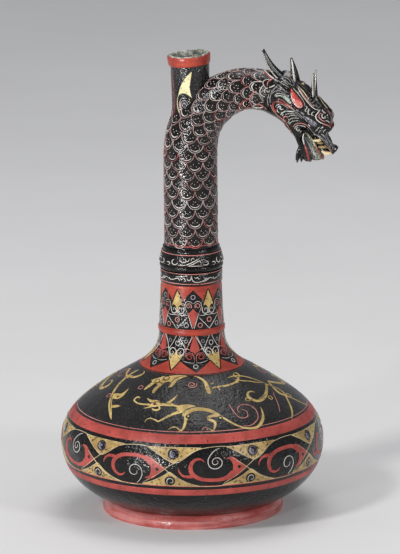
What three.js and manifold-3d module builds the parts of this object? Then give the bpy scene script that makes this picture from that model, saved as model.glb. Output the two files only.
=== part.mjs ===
import * as THREE from 'three';
import { mergeVertices } from 'three/addons/utils/BufferGeometryUtils.js';
import Module from 'manifold-3d';

const wasm = await Module();
wasm.setup();

// Driving dimensions, in millimetres, with the bottle's own axis on x = 0 until the end

const clearance = 0.3;
const facets = { belly: 40, neck: 26, spout: 20, head: 14, small: 8 };
const curveSteps = { outside: 7, inside: 4, flare: 5, belt: 4 };

const foot = { height: 12, bottomRadius: 81.6, topRadius: 78.7, wall: 6, topWall: 5.5 };
const belly = {
    radius: 118.3, wall: 4,
    lowerHeight: 52.5, upperHeight: 69.9, topRadius: 48.3,
    footPull: 30, footSlope: 26, waistPull: 23.5, shoulderPull: 29, collarPull: 52, collarSlope: 31,
    lapHeight: 5, keyWall: 4.5, keyHeight: 3, holeRadius: 43,
};
const flare = {
    height: 33.9, topRadius: 29.2, keyHeight: 5, keyWall: 3,
    pullIn: 9.5, pullUp: 6.8, innerPull: 6.8, upright: 16.3,
};
const neckRing = { height: 4.6, radius: 30.2, grooveRadius: 28 };
const sleeve = { height: 42.7, topRadius: 27.2, bore: 24 };
const lowerCollar = {
    height: 12, radius: 27.9, edge: 0.5, bore: 23.2,
    beadHeight: 6.3, beadRadius: 28.7, grooveRadius: 26.9,
};
const upperCollar = {
    height: 14.4, bottomRadius: 29.2, topRadius: 26.8, bevel: 1.2,
    ledgeHeight: 3.6, ledgeRadius: 25.7, bore: 22.5,
};
const scaledNeck = { height: 84.3, radius: 23.7, bore: 20.7 };
const key = { length: 6, wall: 2 };
const spout = {
    riser: 2, crownX: 47, crownRise: 57.8, pullUp: 46.2, pullOver: 2.5,
    endX: 25, endDrop: 2.5, endPitch: 20, endPull: 11.9,
    radius: 17.9, wall: 3, taperEnds: 0.92, split: 0.66, step: 8.5,
};
const filler = { radius: 16.3, topRadius: 17.9, wall: 3.4, rise: 79, straightRise: 44, key: 1.6 };
const rim = { height: 12, bottomRadius: 18.3, topRadius: 19.5, wall: 3.6, tilt: 4.5, lean: 0.5, bevel: 0.8 };
const head = { pitch: 48, throat: 11, plug: 5, seatGap: clearance * 1.5 };

// Heights of the joints, counted up from the surface that the bottle stands on

const footTop = foot.height;
const equator = footTop + belly.lowerHeight;
const shoulderTop = equator + belly.upperHeight;
const flareTop = shoulderTop + flare.height;
const sleeveTop = flareTop + sleeve.height;
const beadTop = sleeveTop + lowerCollar.height + lowerCollar.beadHeight;
const collarTop = beadTop + upperCollar.height;
const scaledTop = collarTop + scaledNeck.height;
const crownZ = scaledTop + spout.riser + spout.crownRise;
const fillerTop = scaledTop + filler.rise;
const fillerStraightTop = scaledTop + filler.straightRise;

const point = (x, y) => new THREE.Vector2(x, y);
const radians = (degrees) => THREE.MathUtils.degToRad(degrees);

// Solids and meshes

function weld(geometry) {
    const plain = geometry.clone();
    plain.deleteAttribute('normal');
    plain.deleteAttribute('uv');
    const merged = mergeVertices(plain, 1e-4);
    const index = merged.getIndex().array;
    const kept = [];
    for (let i = 0; i < index.length; i += 3) {
        const [a, b, c] = [index[i], index[i + 1], index[i + 2]];
        if (a !== b && b !== c && c !== a) kept.push(a, b, c);
    }
    merged.setIndex(kept);
    return merged;
}

function enclosedVolume(geometry) {
    const position = geometry.getAttribute('position');
    const index = geometry.getIndex().array;
    const [a, b, c] = [new THREE.Vector3(), new THREE.Vector3(), new THREE.Vector3()];
    let volume = 0;
    for (let i = 0; i < index.length; i += 3) {
        a.fromBufferAttribute(position, index[i]);
        b.fromBufferAttribute(position, index[i + 1]);
        c.fromBufferAttribute(position, index[i + 2]);
        volume += a.dot(b.cross(c)) / 6;
    }
    return volume;
}

function solid(geometry) {
    const welded = weld(geometry);
    const triangles = Uint32Array.from(welded.getIndex().array);
    if (enclosedVolume(welded) < 0) {
        for (let i = 0; i < triangles.length; i += 3) {
            [triangles[i], triangles[i + 1]] = [triangles[i + 1], triangles[i]];
        }
    }
    const corners = Float32Array.from(welded.getAttribute('position').array);
    return new wasm.Manifold(new wasm.Mesh({ numProp: 3, vertProperties: corners, triVerts: triangles }));
}

// A cut between faceted skins can leave thin crumbs beside the piece: only the piece itself is kept

function withoutCrumbs(shape) {
    return shape.decompose().sort((a, b) => b.volume() - a.volume())[0];
}

function meshOf(name, shape, material) {
    const { vertProperties, triVerts, numProp } = shape.getMesh();
    const corners = new Float32Array((vertProperties.length / numProp) * 3);
    for (let i = 0; i < corners.length / 3; i += 1) {
        for (let k = 0; k < 3; k += 1) corners[3 * i + k] = vertProperties[numProp * i + k];
    }
    const geometry = new THREE.BufferGeometry();
    geometry.setAttribute('position', new THREE.BufferAttribute(corners, 3));
    geometry.setIndex(Array.from(triVerts));
    geometry.computeVertexNormals();
    const mesh = new THREE.Mesh(geometry, material);
    mesh.name = name;
    return mesh;
}

function lacquer(color, roughness = 0.3, metalness = 0) {
    return new THREE.MeshStandardMaterial({ color, roughness, metalness });
}

// A closed outline of (radius, height) points, turned about the upright axis

function turned(outline, segments) {
    const ends = outline[0].x === 0 && outline.at(-1).x === 0;
    const closed = ends ? outline : [...outline, outline[0]];
    return solid(new THREE.LatheGeometry(closed, segments).rotateX(Math.PI / 2));
}

function post(radius, bottom, top, segments) {
    return turned([point(0, bottom), point(radius, bottom), point(radius, top), point(0, top)], segments);
}

// A skin over a row of rings, each a list of as many points, with flat ends

function lofted(rings) {
    const count = rings[0].length;
    const corners = rings.flat().flatMap((p) => [p.x, p.y, p.z]);
    const index = [];
    for (let row = 0; row < rings.length - 1; row += 1) {
        for (let i = 0; i < count; i += 1) {
            const [a, b] = [row * count + i, row * count + ((i + 1) % count)];
            index.push(a, b, b + count, a, b + count, a + count);
        }
    }
    for (const [row, flip] of [[0, true], [rings.length - 1, false]]) {
        const middle = new THREE.Vector3();
        for (const p of rings[row]) middle.addScaledVector(p, 1 / count);
        const centre = corners.length / 3;
        corners.push(middle.x, middle.y, middle.z);
        for (let i = 0; i < count; i += 1) {
            const [a, b] = [row * count + i, row * count + ((i + 1) % count)];
            if (flip) index.push(centre, b, a);
            else index.push(centre, a, b);
        }
    }
    const geometry = new THREE.BufferGeometry();
    geometry.setAttribute('position', new THREE.BufferAttribute(new Float32Array(corners), 3));
    geometry.setIndex(index);
    return solid(geometry);
}

// The bottle's body: foot, two bowls that lap at the widest line, flare, sleeve and collars

function lowerCurve(steps) {
    const slope = radians(belly.footSlope);
    const start = point(foot.topRadius, footTop);
    const pull = point(Math.cos(slope), Math.sin(slope)).multiplyScalar(belly.footPull);
    const end = point(belly.radius, equator);
    const below = point(belly.radius, equator - belly.waistPull);
    return new THREE.CubicBezierCurve(start, start.clone().add(pull), below, end).getPoints(steps);
}

function upperCurve(steps) {
    const slope = radians(belly.collarSlope);
    const start = point(belly.radius, equator);
    const above = point(belly.radius, equator + belly.shoulderPull);
    const end = point(belly.topRadius, shoulderTop);
    const pull = point(Math.cos(slope), -Math.sin(slope)).multiplyScalar(belly.collarPull);
    return new THREE.CubicBezierCurve(start, above, end.clone().add(pull), end).getPoints(steps);
}

function inset(outline, depth) {
    return outline.map((p, i) => {
        const before = outline[Math.max(i - 1, 0)];
        const after = outline[Math.min(i + 1, outline.length - 1)];
        const along = after.clone().sub(before).normalize();
        return point(p.x - along.y * depth, p.y + along.x * depth);
    });
}

function footRing() {
    return turned([
        point(foot.bottomRadius, 0),
        point(foot.bottomRadius, footTop / 2),
        point(foot.topRadius, footTop),
        point(foot.topRadius - foot.topWall, footTop),
        point(foot.bottomRadius - foot.wall, 0),
    ], facets.belly);
}

function lowerBowl() {
    const outer = lowerCurve(curveSteps.outside);
    const inner = inset(lowerCurve(curveSteps.inside), belly.wall).reverse();
    const lap = belly.radius - belly.wall / 2 - clearance / 2;
    const lapTop = equator + belly.lapHeight;
    const keyOuter = foot.topRadius - foot.topWall - clearance - belly.keyHeight / 2;
    const keyInner = keyOuter - belly.keyWall;
    return turned([
        point(0, footTop),
        point(keyInner, footTop),
        point(keyInner, footTop - belly.keyHeight),
        point(keyOuter, footTop - belly.keyHeight),
        point(keyOuter, footTop),
        ...outer,
        point(lap, equator),
        point(lap, lapTop),
        point(belly.radius - belly.wall, lapTop),
        ...inner,
        point(0, footTop + belly.wall),
    ], facets.belly);
}

function shoulderShell() {
    const outer = upperCurve(curveSteps.outside);
    const lapTop = equator + belly.lapHeight + clearance;
    const inner = inset(upperCurve(curveSteps.inside), belly.wall)
        .reverse()
        .filter((p) => p.y > lapTop + 1 && p.x > belly.holeRadius + 1);
    const lap = belly.radius - belly.wall / 2 + clearance / 2;
    return turned([
        ...outer,
        point(belly.holeRadius, shoulderTop),
        point(belly.holeRadius, inner[0].y + 1),
        ...inner,
        point(belly.radius - belly.wall, lapTop),
        point(lap, lapTop),
        point(lap, equator),
    ], facets.belly);
}

function neckFlare() {
    const top = point(flare.topRadius, flareTop - neckRing.height / 2);
    const bottom = point(belly.topRadius, shoulderTop);
    const outer = new THREE.CubicBezierCurve(
        bottom,
        point(belly.topRadius - flare.pullIn, shoulderTop + flare.pullUp),
        point(flare.topRadius, top.y - flare.upright),
        top,
    ).getPoints(curveSteps.flare);
    const keyOuter = belly.holeRadius - clearance;
    const keyInner = keyOuter - flare.keyWall;
    const inner = new THREE.CubicBezierCurve(
        point(keyInner, shoulderTop),
        point(keyInner - flare.innerPull, shoulderTop + flare.pullUp),
        point(sleeve.bore, flareTop - flare.upright),
        point(sleeve.bore, flareTop),
    ).getPoints(curveSteps.inside).reverse();
    return turned([
        ...outer,
        point(neckRing.grooveRadius, top.y),
        point(neckRing.grooveRadius, flareTop),
        ...inner,
        point(keyInner, shoulderTop - flare.keyHeight),
        point(keyOuter, shoulderTop - flare.keyHeight),
        point(keyOuter, shoulderTop),
    ], facets.neck);
}

function fillet() {
    const [bottom, top] = [flareTop - neckRing.height / 2, flareTop + neckRing.height / 2];
    const inner = neckRing.grooveRadius + clearance;
    const belt = new THREE.QuadraticBezierCurve(
        point(flare.topRadius, bottom),
        point(2 * neckRing.radius - flare.topRadius, flareTop),
        point(flare.topRadius, top),
    ).getPoints(curveSteps.belt);
    return turned([...belt, point(inner, top), point(inner, bottom)], facets.neck);
}

// A tube of the neck: its key is a short sleeve that stands inside the bore of the tube below

function stackedTube(outer, bore, boreBelow) {
    const [bottom, top] = [outer[0].y, outer.at(-1).y];
    const keyOuter = boreBelow - clearance;
    const keyInner = keyOuter - key.wall;
    return turned([
        ...outer,
        point(bore, top),
        point(bore, bottom + key.length),
        point(keyInner, bottom + key.length / 2),
        point(keyInner, bottom - key.length),
        point(keyOuter, bottom - key.length),
        point(keyOuter, bottom),
    ], facets.neck);
}

function neckSleeve() {
    const grooveTop = flareTop + neckRing.height / 2;
    return stackedTube([
        point(neckRing.grooveRadius, flareTop),
        point(neckRing.grooveRadius, grooveTop),
        point(flare.topRadius, grooveTop),
        point((flare.topRadius + sleeve.topRadius * 2) / 3, flareTop + sleeve.height / 2),
        point(sleeve.topRadius, sleeveTop),
    ], sleeve.bore, sleeve.bore);
}

function collarBelow() {
    const edge = lowerCollar.edge;
    const bandTop = sleeveTop + lowerCollar.height;
    const bead = new THREE.QuadraticBezierCurve(
        point(lowerCollar.grooveRadius, bandTop),
        point(2 * lowerCollar.beadRadius - lowerCollar.grooveRadius, (bandTop + beadTop) / 2),
        point(lowerCollar.grooveRadius, beadTop),
    ).getPoints(curveSteps.belt);
    return stackedTube([
        point(lowerCollar.radius - edge, sleeveTop),
        point(lowerCollar.radius, sleeveTop + 2 * edge),
        point(lowerCollar.radius, bandTop - 2 * edge),
        point(lowerCollar.radius - edge, bandTop),
        ...bead,
    ], lowerCollar.bore, sleeve.bore);
}

function collarAbove() {
    const bandTop = collarTop - upperCollar.ledgeHeight;
    return stackedTube([
        point(upperCollar.bottomRadius - upperCollar.bevel / 2, beadTop),
        point(upperCollar.bottomRadius, beadTop + upperCollar.bevel),
        point(upperCollar.topRadius + upperCollar.bevel / 2, bandTop - upperCollar.bevel),
        point(upperCollar.topRadius, bandTop),
        point(upperCollar.ledgeRadius, bandTop),
        point(upperCollar.ledgeRadius, collarTop),
    ], upperCollar.bore, lowerCollar.bore);
}

function scaledTube() {
    return stackedTube([
        point(scaledNeck.radius, collarTop),
        point(scaledNeck.radius, scaledTop),
    ], scaledNeck.bore, upperCollar.bore);
}

// The spout's centre line: up the neck, over the crown and down to the back of the head

const crown = new THREE.Vector3(spout.crownX, 0, crownZ);
const archEnd = new THREE.Vector3(spout.crownX + spout.endX, 0, crownZ - spout.endDrop);
const endWay = new THREE.Vector3(Math.cos(radians(spout.endPitch)), 0, -Math.sin(radians(spout.endPitch)));

function spoutLine() {
    const foot0 = new THREE.Vector3(0, 0, scaledTop);
    const bendStart = new THREE.Vector3(0, 0, scaledTop + spout.riser);
    const line = new THREE.CurvePath();
    line.add(new THREE.LineCurve3(foot0, bendStart));
    line.add(new THREE.CubicBezierCurve3(
        bendStart,
        bendStart.clone().setZ(bendStart.z + spout.pullUp),
        crown.clone().setX(crown.x - spout.pullOver),
        crown,
    ));
    line.add(new THREE.CubicBezierCurve3(
        crown,
        crown.clone().setX(crown.x + spout.endPull),
        archEnd.clone().addScaledVector(endWay, -spout.endPull),
        archEnd,
    ));
    return line;
}

const spoutPath = spoutLine();
const spoutLength = spoutPath.getLength();
const splitAt = spoutLength * spout.split;

function spoutRadius(distance) {
    const bend = (distance - spout.riser) / (spoutLength - spout.riser) / spout.taperEnds;
    return THREE.MathUtils.lerp(scaledNeck.radius, spout.radius, THREE.MathUtils.smoothstep(bend, 0, 1));
}

function spoutRing(distance, grow) {
    const share = THREE.MathUtils.clamp(distance / spoutLength, 0, 1);
    const way = spoutPath.getTangentAt(share);
    const centre = spoutPath.getPointAt(share).addScaledVector(way, distance - share * spoutLength);
    const out = new THREE.Vector3(-way.z, 0, way.x);
    const radius = spoutRadius(share * spoutLength) + grow;
    return Array.from({ length: facets.spout }, (_, i) => {
        const turn = (2 * Math.PI * i) / facets.spout;
        const p = centre.clone().addScaledVector(out, radius * Math.cos(turn));
        return p.setY(radius * Math.sin(turn));
    });
}

function spoutTube(start, end, grow) {
    const steps = Math.max(1, Math.round((end - start) / spout.step));
    const distances = Array.from({ length: steps + 1 }, (_, i) => start + ((end - start) * i) / steps);
    return lofted(distances.map((distance) => spoutRing(distance, grow)));
}

function elbowBranch() {
    const bore = -spout.wall;
    const keyOuter = scaledNeck.bore - clearance;
    const keyTop = scaledTop + key.length;
    const hole = filler.radius - filler.key + clearance;
    return spoutTube(0, splitAt, 0)
        .add(post(keyOuter, scaledTop - key.length, scaledTop + 1, facets.spout))
        .subtract(spoutTube(key.length, splitAt + 1, bore))
        .subtract(post(keyOuter - key.wall, scaledTop - key.length - 1, keyTop + 1, facets.spout))
        .subtract(post(hole, scaledTop + spout.riser + spout.radius, fillerTop, facets.spout));
}

function spoutArch() {
    const keyGrow = -spout.wall - clearance;
    return spoutTube(splitAt + clearance, spoutLength, 0)
        .add(spoutTube(splitAt - key.length, splitAt + key.length, keyGrow))
        .subtract(spoutTube(splitAt - key.length - 1, splitAt + key.length + 1, keyGrow - key.wall))
        .subtract(spoutTube(splitAt + key.length, spoutLength + 1, -spout.wall));
}

// The filling tube stands on the bend, with its mouth rim on a slightly tilted top

const rimFrame = new THREE.Matrix4()
    .makeRotationY(-radians(rim.tilt))
    .setPosition(-rim.lean, 0, fillerTop);

function fillerTube() {
    const bottom = scaledTop + spout.riser;
    const bore = filler.radius - filler.wall;
    const outer = turned([
        point(0, bottom),
        point(filler.radius, bottom),
        point(filler.radius, fillerStraightTop),
        point(filler.topRadius, fillerTop + rim.height),
        point(0, fillerTop + rim.height),
    ], facets.spout);
    const above = post(rim.topRadius * 2, -clearance, rim.height * 2, facets.small)
        .transform(rimFrame.elements);
    const inWall = post(filler.radius - filler.key, bottom, fillerStraightTop + spout.radius, facets.spout)
        .subtract(spoutTube(0, splitAt, -spout.wall - clearance));
    const rimSeat = post(bore, -key.length - clearance, rim.height, facets.spout)
        .transform(rimFrame.elements);
    return outer
        .subtract(above)
        .subtract(rimSeat)
        .subtract(spoutTube(0, splitAt, clearance))
        .add(inWall)
        .subtract(post(bore, bottom - 1, fillerTop + 2 * rim.height, facets.spout));
}

function mouthRim() {
    const bore = filler.radius - filler.wall;
    const keyOuter = bore - clearance;
    return turned([
        point(rim.bottomRadius, 0),
        point(rim.topRadius, rim.height - rim.bevel),
        point(rim.topRadius - rim.bevel / 2, rim.height),
        point(rim.topRadius - rim.wall, rim.height),
        point(keyOuter - key.wall / 2, rim.height / 2),
        point(keyOuter - key.wall / 2, -key.length),
        point(keyOuter, -key.length),
        point(keyOuter, 0),
    ], facets.spout);
}

// The dragon's head, along its snout (u), up from the snout (v) and across (w)

const headFrame = new THREE.Group();
headFrame.position.copy(archEnd);
headFrame.rotation.y = radians(head.pitch);

const backTilt = radians(head.pitch - spout.endPitch);
const backUp = new THREE.Vector2(-Math.sin(backTilt), Math.cos(backTilt));
const backWay = new THREE.Vector2(Math.cos(backTilt), Math.sin(backTilt));

// One oval cut across the head: its top and bottom points (u, v), half its width and its squareness

function headRing([topU, topV, bottomU, bottomV, half, square = 2.2], grow = 0) {
    const [top, bottom] = [point(topU, topV), point(bottomU, bottomV)];
    const middle = top.clone().add(bottom).multiplyScalar(0.5);
    const reach = top.clone().sub(bottom).multiplyScalar(0.5);
    reach.setLength(reach.length() + grow);
    const bulge = (value) => Math.sign(value) * Math.abs(value) ** (2 / square);
    return Array.from({ length: facets.head }, (_, i) => {
        const turn = (2 * Math.PI * i) / facets.head;
        const p = middle.clone().addScaledVector(reach, bulge(Math.cos(turn)));
        return new THREE.Vector3(p.x, (half + grow) * bulge(Math.sin(turn)), p.y);
    });
}

function headOval(cuts, grow = 0) {
    const rings = cuts.map((cut) => headRing(cut, grow));
    const ends = [[rings[0], -grow], [rings.at(-1), grow]];
    for (const [ring, shift] of ends) ring.forEach((p) => p.setX(p.x + shift));
    return lofted(rings);
}

function backCut(distance, radius) {
    const centre = backWay.clone().multiplyScalar(distance);
    const top = centre.clone().addScaledVector(backUp, radius);
    const bottom = centre.addScaledVector(backUp, -radius);
    return [top.x, top.y, bottom.x, bottom.y, radius, 2];
}

const skullCuts = [
    backCut(clearance, spout.radius),
    [1, spout.radius + 2.1, 15, 5.1 - spout.radius, spout.radius - 0.1],
    [10, spout.radius + 7.1, 22, 7.7 - spout.radius, spout.radius + 0.1],
    [20, 27, 30, -8.6, 18],
    [28, 28.6, 36, -6.5, 17],
    [37, 30.2, 41.5, -1.5, 15.5],
    [47, 29.6, 49, 3, 13.5],
    [54.5, 26.8, 57, 5.4, 12],
    [59.2, 20.8, 62.5, 5.8, 11],
    [60.6, 15.8, 66, 6, 10.6],
    [66, 13.2, 71, 5.8, 9.8],
    [73, 12.4, 76, 5.6, 8.2],
    [79, 12, 79.2, 4.5, 5.6],
];
const jawCuts = [
    [34, -1, 32, -7.4, 12],
    [42, -3.2, 41, -8.6, 12],
    [50, -5.4, 50, -10.4, 11],
    [58, -8.6, 57.5, -12.2, 9.6],
    [64.5, -11.4, 63.5, -14.6, 8.5],
    [69.6, -14, 68, -16.2, 6],
];
const tongueCuts = [
    [41, -0.5, 41, -2.2, 5],
    [50, 0.2, 49.5, -4.8, 6.2],
    [58, -1.6, 57, -8.2, 6.4],
    [66, -2.9, 64, -11.6, 5.6],
    [73, -3.9, 69, -13.6, 4.4],
    [76.5, -4.6, 73, -11, 2],
];
const throatCuts = [
    backCut(0, head.throat),
    [7, 12, 15, -6, head.throat],
    [22, 11, 27, -4.5, 9],
    [37, 9.5, 40, -2, 7.5],
    [47, 9, 49, 0.5, 7],
    [58, 9.5, 60, 2.5, 6],
    [68, 9.2, 70, 3, 4.6],
];
const nose = { u: 47.5, v: 22, w: 10, radius: 7.4, depth: 4.2 };
const brow = { u: 23, v: 23.4, w: 11, length: 16, height: 3.6, depth: 5, tilt: 4 };
const eye = { u: 18.4, v: 17.2, w: 15.2, length: 10.3, height: 3.4, depth: 3.8, tilt: 17.7 };

function egg({ u, v, w, tilt = 0 }, [length, depth, height], side, grow = 0) {
    const shape = new THREE.SphereGeometry(1, facets.head / 2, facets.head / 3);
    shape.scale(length + grow, depth + grow, height + grow);
    return solid(shape.rotateY(radians(tilt)).translate(u, side * w, v));
}

const eyeball = (side, grow) => egg(eye, [eye.length, eye.depth, eye.height], side, grow);

// Horns, ears and the spikes of the nose: tapering, bent back, each with a peg in the skull

const horn = {
    u: -1, v: spout.radius - 0.9, w: 5, tipU: -32.3, tipV: spout.radius + 3.3, tipW: 4.6,
    bend: -2.4, base: 3.9, tip: 1, flat: 0.75,
};
const ear = {
    u: 8, v: spout.radius + 4.7, w: 8.4, tipU: -10.4, tipV: spout.radius + 15.9, tipW: 6,
    bend: -2.6, base: 3.8, tip: 0.8, flat: 0.7,
};
const spike = {
    u: 29.5, v: 27, w: 6.2, tipU: 12.4, tipV: 43.2, tipW: 8,
    bend: -1.6, base: 2.6, tip: 0.6, flat: 0.9,
};
const root = { depth: 0.12, peg: 0.22, pegDepth: 0.06, pegShare: 0.5, rings: 6, taper: 0.9 };

function taperRing(form, share, side, radius) {
    const bow = form.bend * Math.sin(Math.PI * share);
    const [du, dv] = [form.tipU - form.u, form.tipV - form.v];
    const long = Math.hypot(du, dv);
    const [u, v] = [form.u + du * share + (dv / long) * bow, form.v + dv * share - (du / long) * bow];
    const w = side * THREE.MathUtils.lerp(form.w, form.tipW, share);
    return Array.from({ length: facets.small }, (_, i) => {
        const turn = (2 * Math.PI * i) / facets.small;
        const across = radius * Math.cos(turn);
        return new THREE.Vector3(
            u + (dv / long) * across,
            w + form.flat * radius * Math.sin(turn),
            v - (du / long) * across,
        );
    });
}

function taper(form, side, start, grow) {
    const shares = Array.from({ length: root.rings }, (_, i) => start + ((1 - start) * i) / (root.rings - 1));
    const radius = (share) => form.tip + (form.base - form.tip) * (1 - Math.max(share, 0)) ** root.taper;
    return lofted(shares.map((share) => taperRing(form, share, side, radius(share) + grow)));
}

function pegOf(form, side, grow) {
    const long = Math.hypot(form.tipU - form.u, form.tipV - form.v);
    const ends = [-root.pegDepth - grow / long, root.peg];
    const rings = ends.map((share) => taperRing(form, share, side, form.base * root.pegShare + grow));
    return lofted(rings);
}

function tapered(form, side, skullPlus, archPlus) {
    return taper(form, side, -root.depth, 0).subtract(skullPlus).add(pegOf(form, side, 0)).subtract(archPlus);
}

// The mane's curls on the cheek, from the brow down to the corner of the jaw

const mane = { depth: 4.6, height: 5.2 };
const curls = [
    { u: 9, v: 7.8, w: 16, length: 11, tilt: -20 },
    { u: 18.5, v: 0.8, w: 15.8, length: 12.5, tilt: -18 },
    { u: 31, v: -1.4, w: 13.8, length: 11, tilt: -23 },
    { u: 40.5, v: -3, w: 11.8, length: 9.5, tilt: -30 },
];

function cheekMane(side, carriers) {
    const whole = curls
        .map((curl) => egg(curl, [curl.length, mane.depth, mane.height], side))
        .reduce((joined, curl) => joined.add(curl));
    return withoutCrumbs(carriers.reduce((rest, carrier) => rest.subtract(carrier), whole));
}

// A row of teeth on a gum strip, raked back along the edge of the upper jaw

const teeth = {
    count: 4, firstU: 60.5, lastU: 76, v: 6.4, w: 7.6, frontW: 4.4,
    length: 7, radius: 1.9, rake: 38, gum: 1.7, gumDrop: 1,
};

function toothRow(side, skullPlus) {
    const at = (share, drop) => new THREE.Vector3(
        THREE.MathUtils.lerp(teeth.firstU, teeth.lastU, share),
        side * THREE.MathUtils.lerp(teeth.w, teeth.frontW, share),
        teeth.v - drop,
    );
    const margin = teeth.radius / (teeth.lastU - teeth.firstU);
    const gumCuts = [-margin, 1 + margin / 2].map((share) => Array.from({ length: facets.small }, (_, i) => {
        const turn = (2 * Math.PI * i) / facets.small;
        const round = new THREE.Vector3(0, Math.cos(turn), Math.sin(turn)).multiplyScalar(teeth.gum);
        return at(share, teeth.gumDrop).add(round);
    }));
    let row = lofted(gumCuts);
    for (let i = 0; i < teeth.count; i += 1) {
        const cone = new THREE.ConeGeometry(teeth.radius, teeth.length, facets.small)
            .translate(0, teeth.length / 2, 0)
            .rotateX(-Math.PI / 2)
            .rotateY(radians(teeth.rake));
        const place = at(i / (teeth.count - 1), teeth.gumDrop);
        row = row.add(solid(cone.translate(place.x, place.y, place.z)));
    }
    return row.subtract(skullPlus);
}

// The beard: a tuft of three points that hangs from the chin and curls back

const beard = {
    u: 59.5, v: -12.4, w: 3.2, hookU: 5, hookStep: 3, spread: 1.5,
    length: 12.6, bend: 2.5, base: 3, tip: 0.7,
};

function chinBeard(jawPlus) {
    const tufts = [-1, 0, 1].map((step) => {
        const form = {
            u: beard.u + step, v: beard.v, w: step * beard.w,
            tipU: beard.u + beard.hookU - Math.abs(step) * beard.hookStep,
            tipV: beard.v - beard.length,
            tipW: step * beard.w * beard.spread,
            bend: beard.bend, base: beard.base, tip: beard.tip, flat: 1,
        };
        return taper(form, 1, -root.depth, 0);
    });
    return withoutCrumbs(tufts.reduce((whole, tuft) => whole.add(tuft)).subtract(jawPlus));
}

function headPieces() {
    const sides = [['left', 1], ['right', -1]];
    const crownForms = [['horn', horn], ['ear', ear], ['nose_spike', spike]];
    const black = lacquer(0x17120f);
    const swell = (grow) => sides.reduce(
        (whole, [, side]) => whole
            .add(egg(nose, [nose.radius, nose.depth, nose.radius], side, grow))
            .add(egg(brow, [brow.length, brow.depth, brow.height], side, grow)),
        headOval(skullCuts, grow),
    );
    const skullPlus = swell(head.seatGap);
    const jawPlus = headOval(jawCuts, clearance);
    headFrame.updateMatrix();
    const intoHead = headFrame.matrix.clone().invert().elements;
    const archPlus = spoutTube(splitAt, spoutLength + clearance, clearance).transform(intoHead);
    const throat = headOval(throatCuts);
    const backTube = (radius, start, end) => lofted(
        [start, end].map((at) => headRing(backCut(at, radius))),
    );
    let skull = swell(0)
        .add(backTube(spout.radius - spout.wall - head.seatGap, -head.plug, clearance + 1))
        .subtract(backTube(head.throat, -head.plug - 1, 1))
        .subtract(throat);
    for (const [, side] of sides) {
        skull = skull.subtract(eyeball(side, clearance));
        for (const [, form] of crownForms) skull = skull.subtract(pegOf(form, side, clearance));
    }
    const tonguePlus = headOval(tongueCuts, clearance);
    const jaw = headOval(jawCuts).subtract(skullPlus).subtract(throat).subtract(tonguePlus);
    const tongue = headOval(tongueCuts).subtract(skullPlus);
    const pieces = [
        meshOf('dragon_skull', skull, black),
        meshOf('lower_jaw', jaw, black),
        meshOf('tongue', tongue, lacquer(0x8b9186, 0.45)),
        meshOf('chin_beard', chinBeard(jawPlus), black),
    ];
    for (const [hand, side] of sides) {
        pieces.push(meshOf(`${hand}_eye`, eyeball(side, 0), lacquer(0xc2463c)));
        pieces.push(meshOf(`${hand}_upper_teeth`, toothRow(side, skullPlus), lacquer(0xcdb98a, 0.4)));
        pieces.push(meshOf(`${hand}_cheek_mane`, cheekMane(side, [skullPlus, jawPlus, archPlus]), black));
        for (const [label, form] of crownForms) {
            pieces.push(meshOf(`${hand}_${label}`, tapered(form, side, skullPlus, archPlus), black));
        }
    }
    return pieces;
}

// The whole bottle, moved so that the middle of its box stands over the origin

const bottle = new THREE.Group();
const black = lacquer(0x17120f, 0.25);
const red = lacquer(0xb8443a, 0.4);
bottle.add(
    meshOf('foot_ring', footRing(), red),
    meshOf('lower_bowl', lowerBowl(), black),
    meshOf('shoulder_shell', shoulderShell(), black),
    meshOf('neck_flare', neckFlare(), red),
    meshOf('neck_fillet', fillet(), red),
    meshOf('neck_sleeve', neckSleeve(), red),
    meshOf('lower_collar', collarBelow(), black),
    meshOf('upper_collar', collarAbove(), black),
    meshOf('scaled_neck', scaledTube(), black),
    meshOf('elbow_branch', elbowBranch(), black),
    meshOf('spout_arch', spoutArch(), black),
    meshOf('filler_tube', fillerTube(), black),
);

const mouth = meshOf('mouth_rim', mouthRim(), red);
mouth.applyMatrix4(rimFrame);
headFrame.add(...headPieces());
bottle.add(mouth, headFrame);

const box = new THREE.Box3().setFromObject(bottle, true);
bottle.position.x = -(box.min.x + box.max.x) / 2;

const model = new THREE.Group();
model.add(bottle);

export default model;
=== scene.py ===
import bisect
import math
import random

import bmesh
import bpy
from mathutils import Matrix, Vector
from mathutils.bvhtree import BVHTree
from mathutils.geometry import delaunay_2d_cdt


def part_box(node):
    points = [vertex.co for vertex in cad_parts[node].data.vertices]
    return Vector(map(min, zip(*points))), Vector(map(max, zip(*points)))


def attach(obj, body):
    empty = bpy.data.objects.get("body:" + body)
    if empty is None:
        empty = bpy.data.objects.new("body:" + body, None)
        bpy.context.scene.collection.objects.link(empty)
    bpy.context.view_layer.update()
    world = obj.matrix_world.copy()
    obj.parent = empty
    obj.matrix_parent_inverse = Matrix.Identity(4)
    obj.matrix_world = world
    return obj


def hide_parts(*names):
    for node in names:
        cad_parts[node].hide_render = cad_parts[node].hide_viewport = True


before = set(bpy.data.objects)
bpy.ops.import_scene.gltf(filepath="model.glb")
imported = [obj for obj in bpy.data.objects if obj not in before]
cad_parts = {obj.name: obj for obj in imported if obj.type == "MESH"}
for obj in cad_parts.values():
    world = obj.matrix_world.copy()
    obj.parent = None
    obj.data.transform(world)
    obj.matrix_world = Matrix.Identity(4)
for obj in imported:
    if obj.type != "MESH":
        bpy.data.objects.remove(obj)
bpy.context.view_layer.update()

# Sizes in millimetres, counted from the bottle's own upright axis

MM = 0.001  # in the frame's metres


def box_mm(node):
    low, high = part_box(node)
    return low / MM, high / MM


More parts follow.
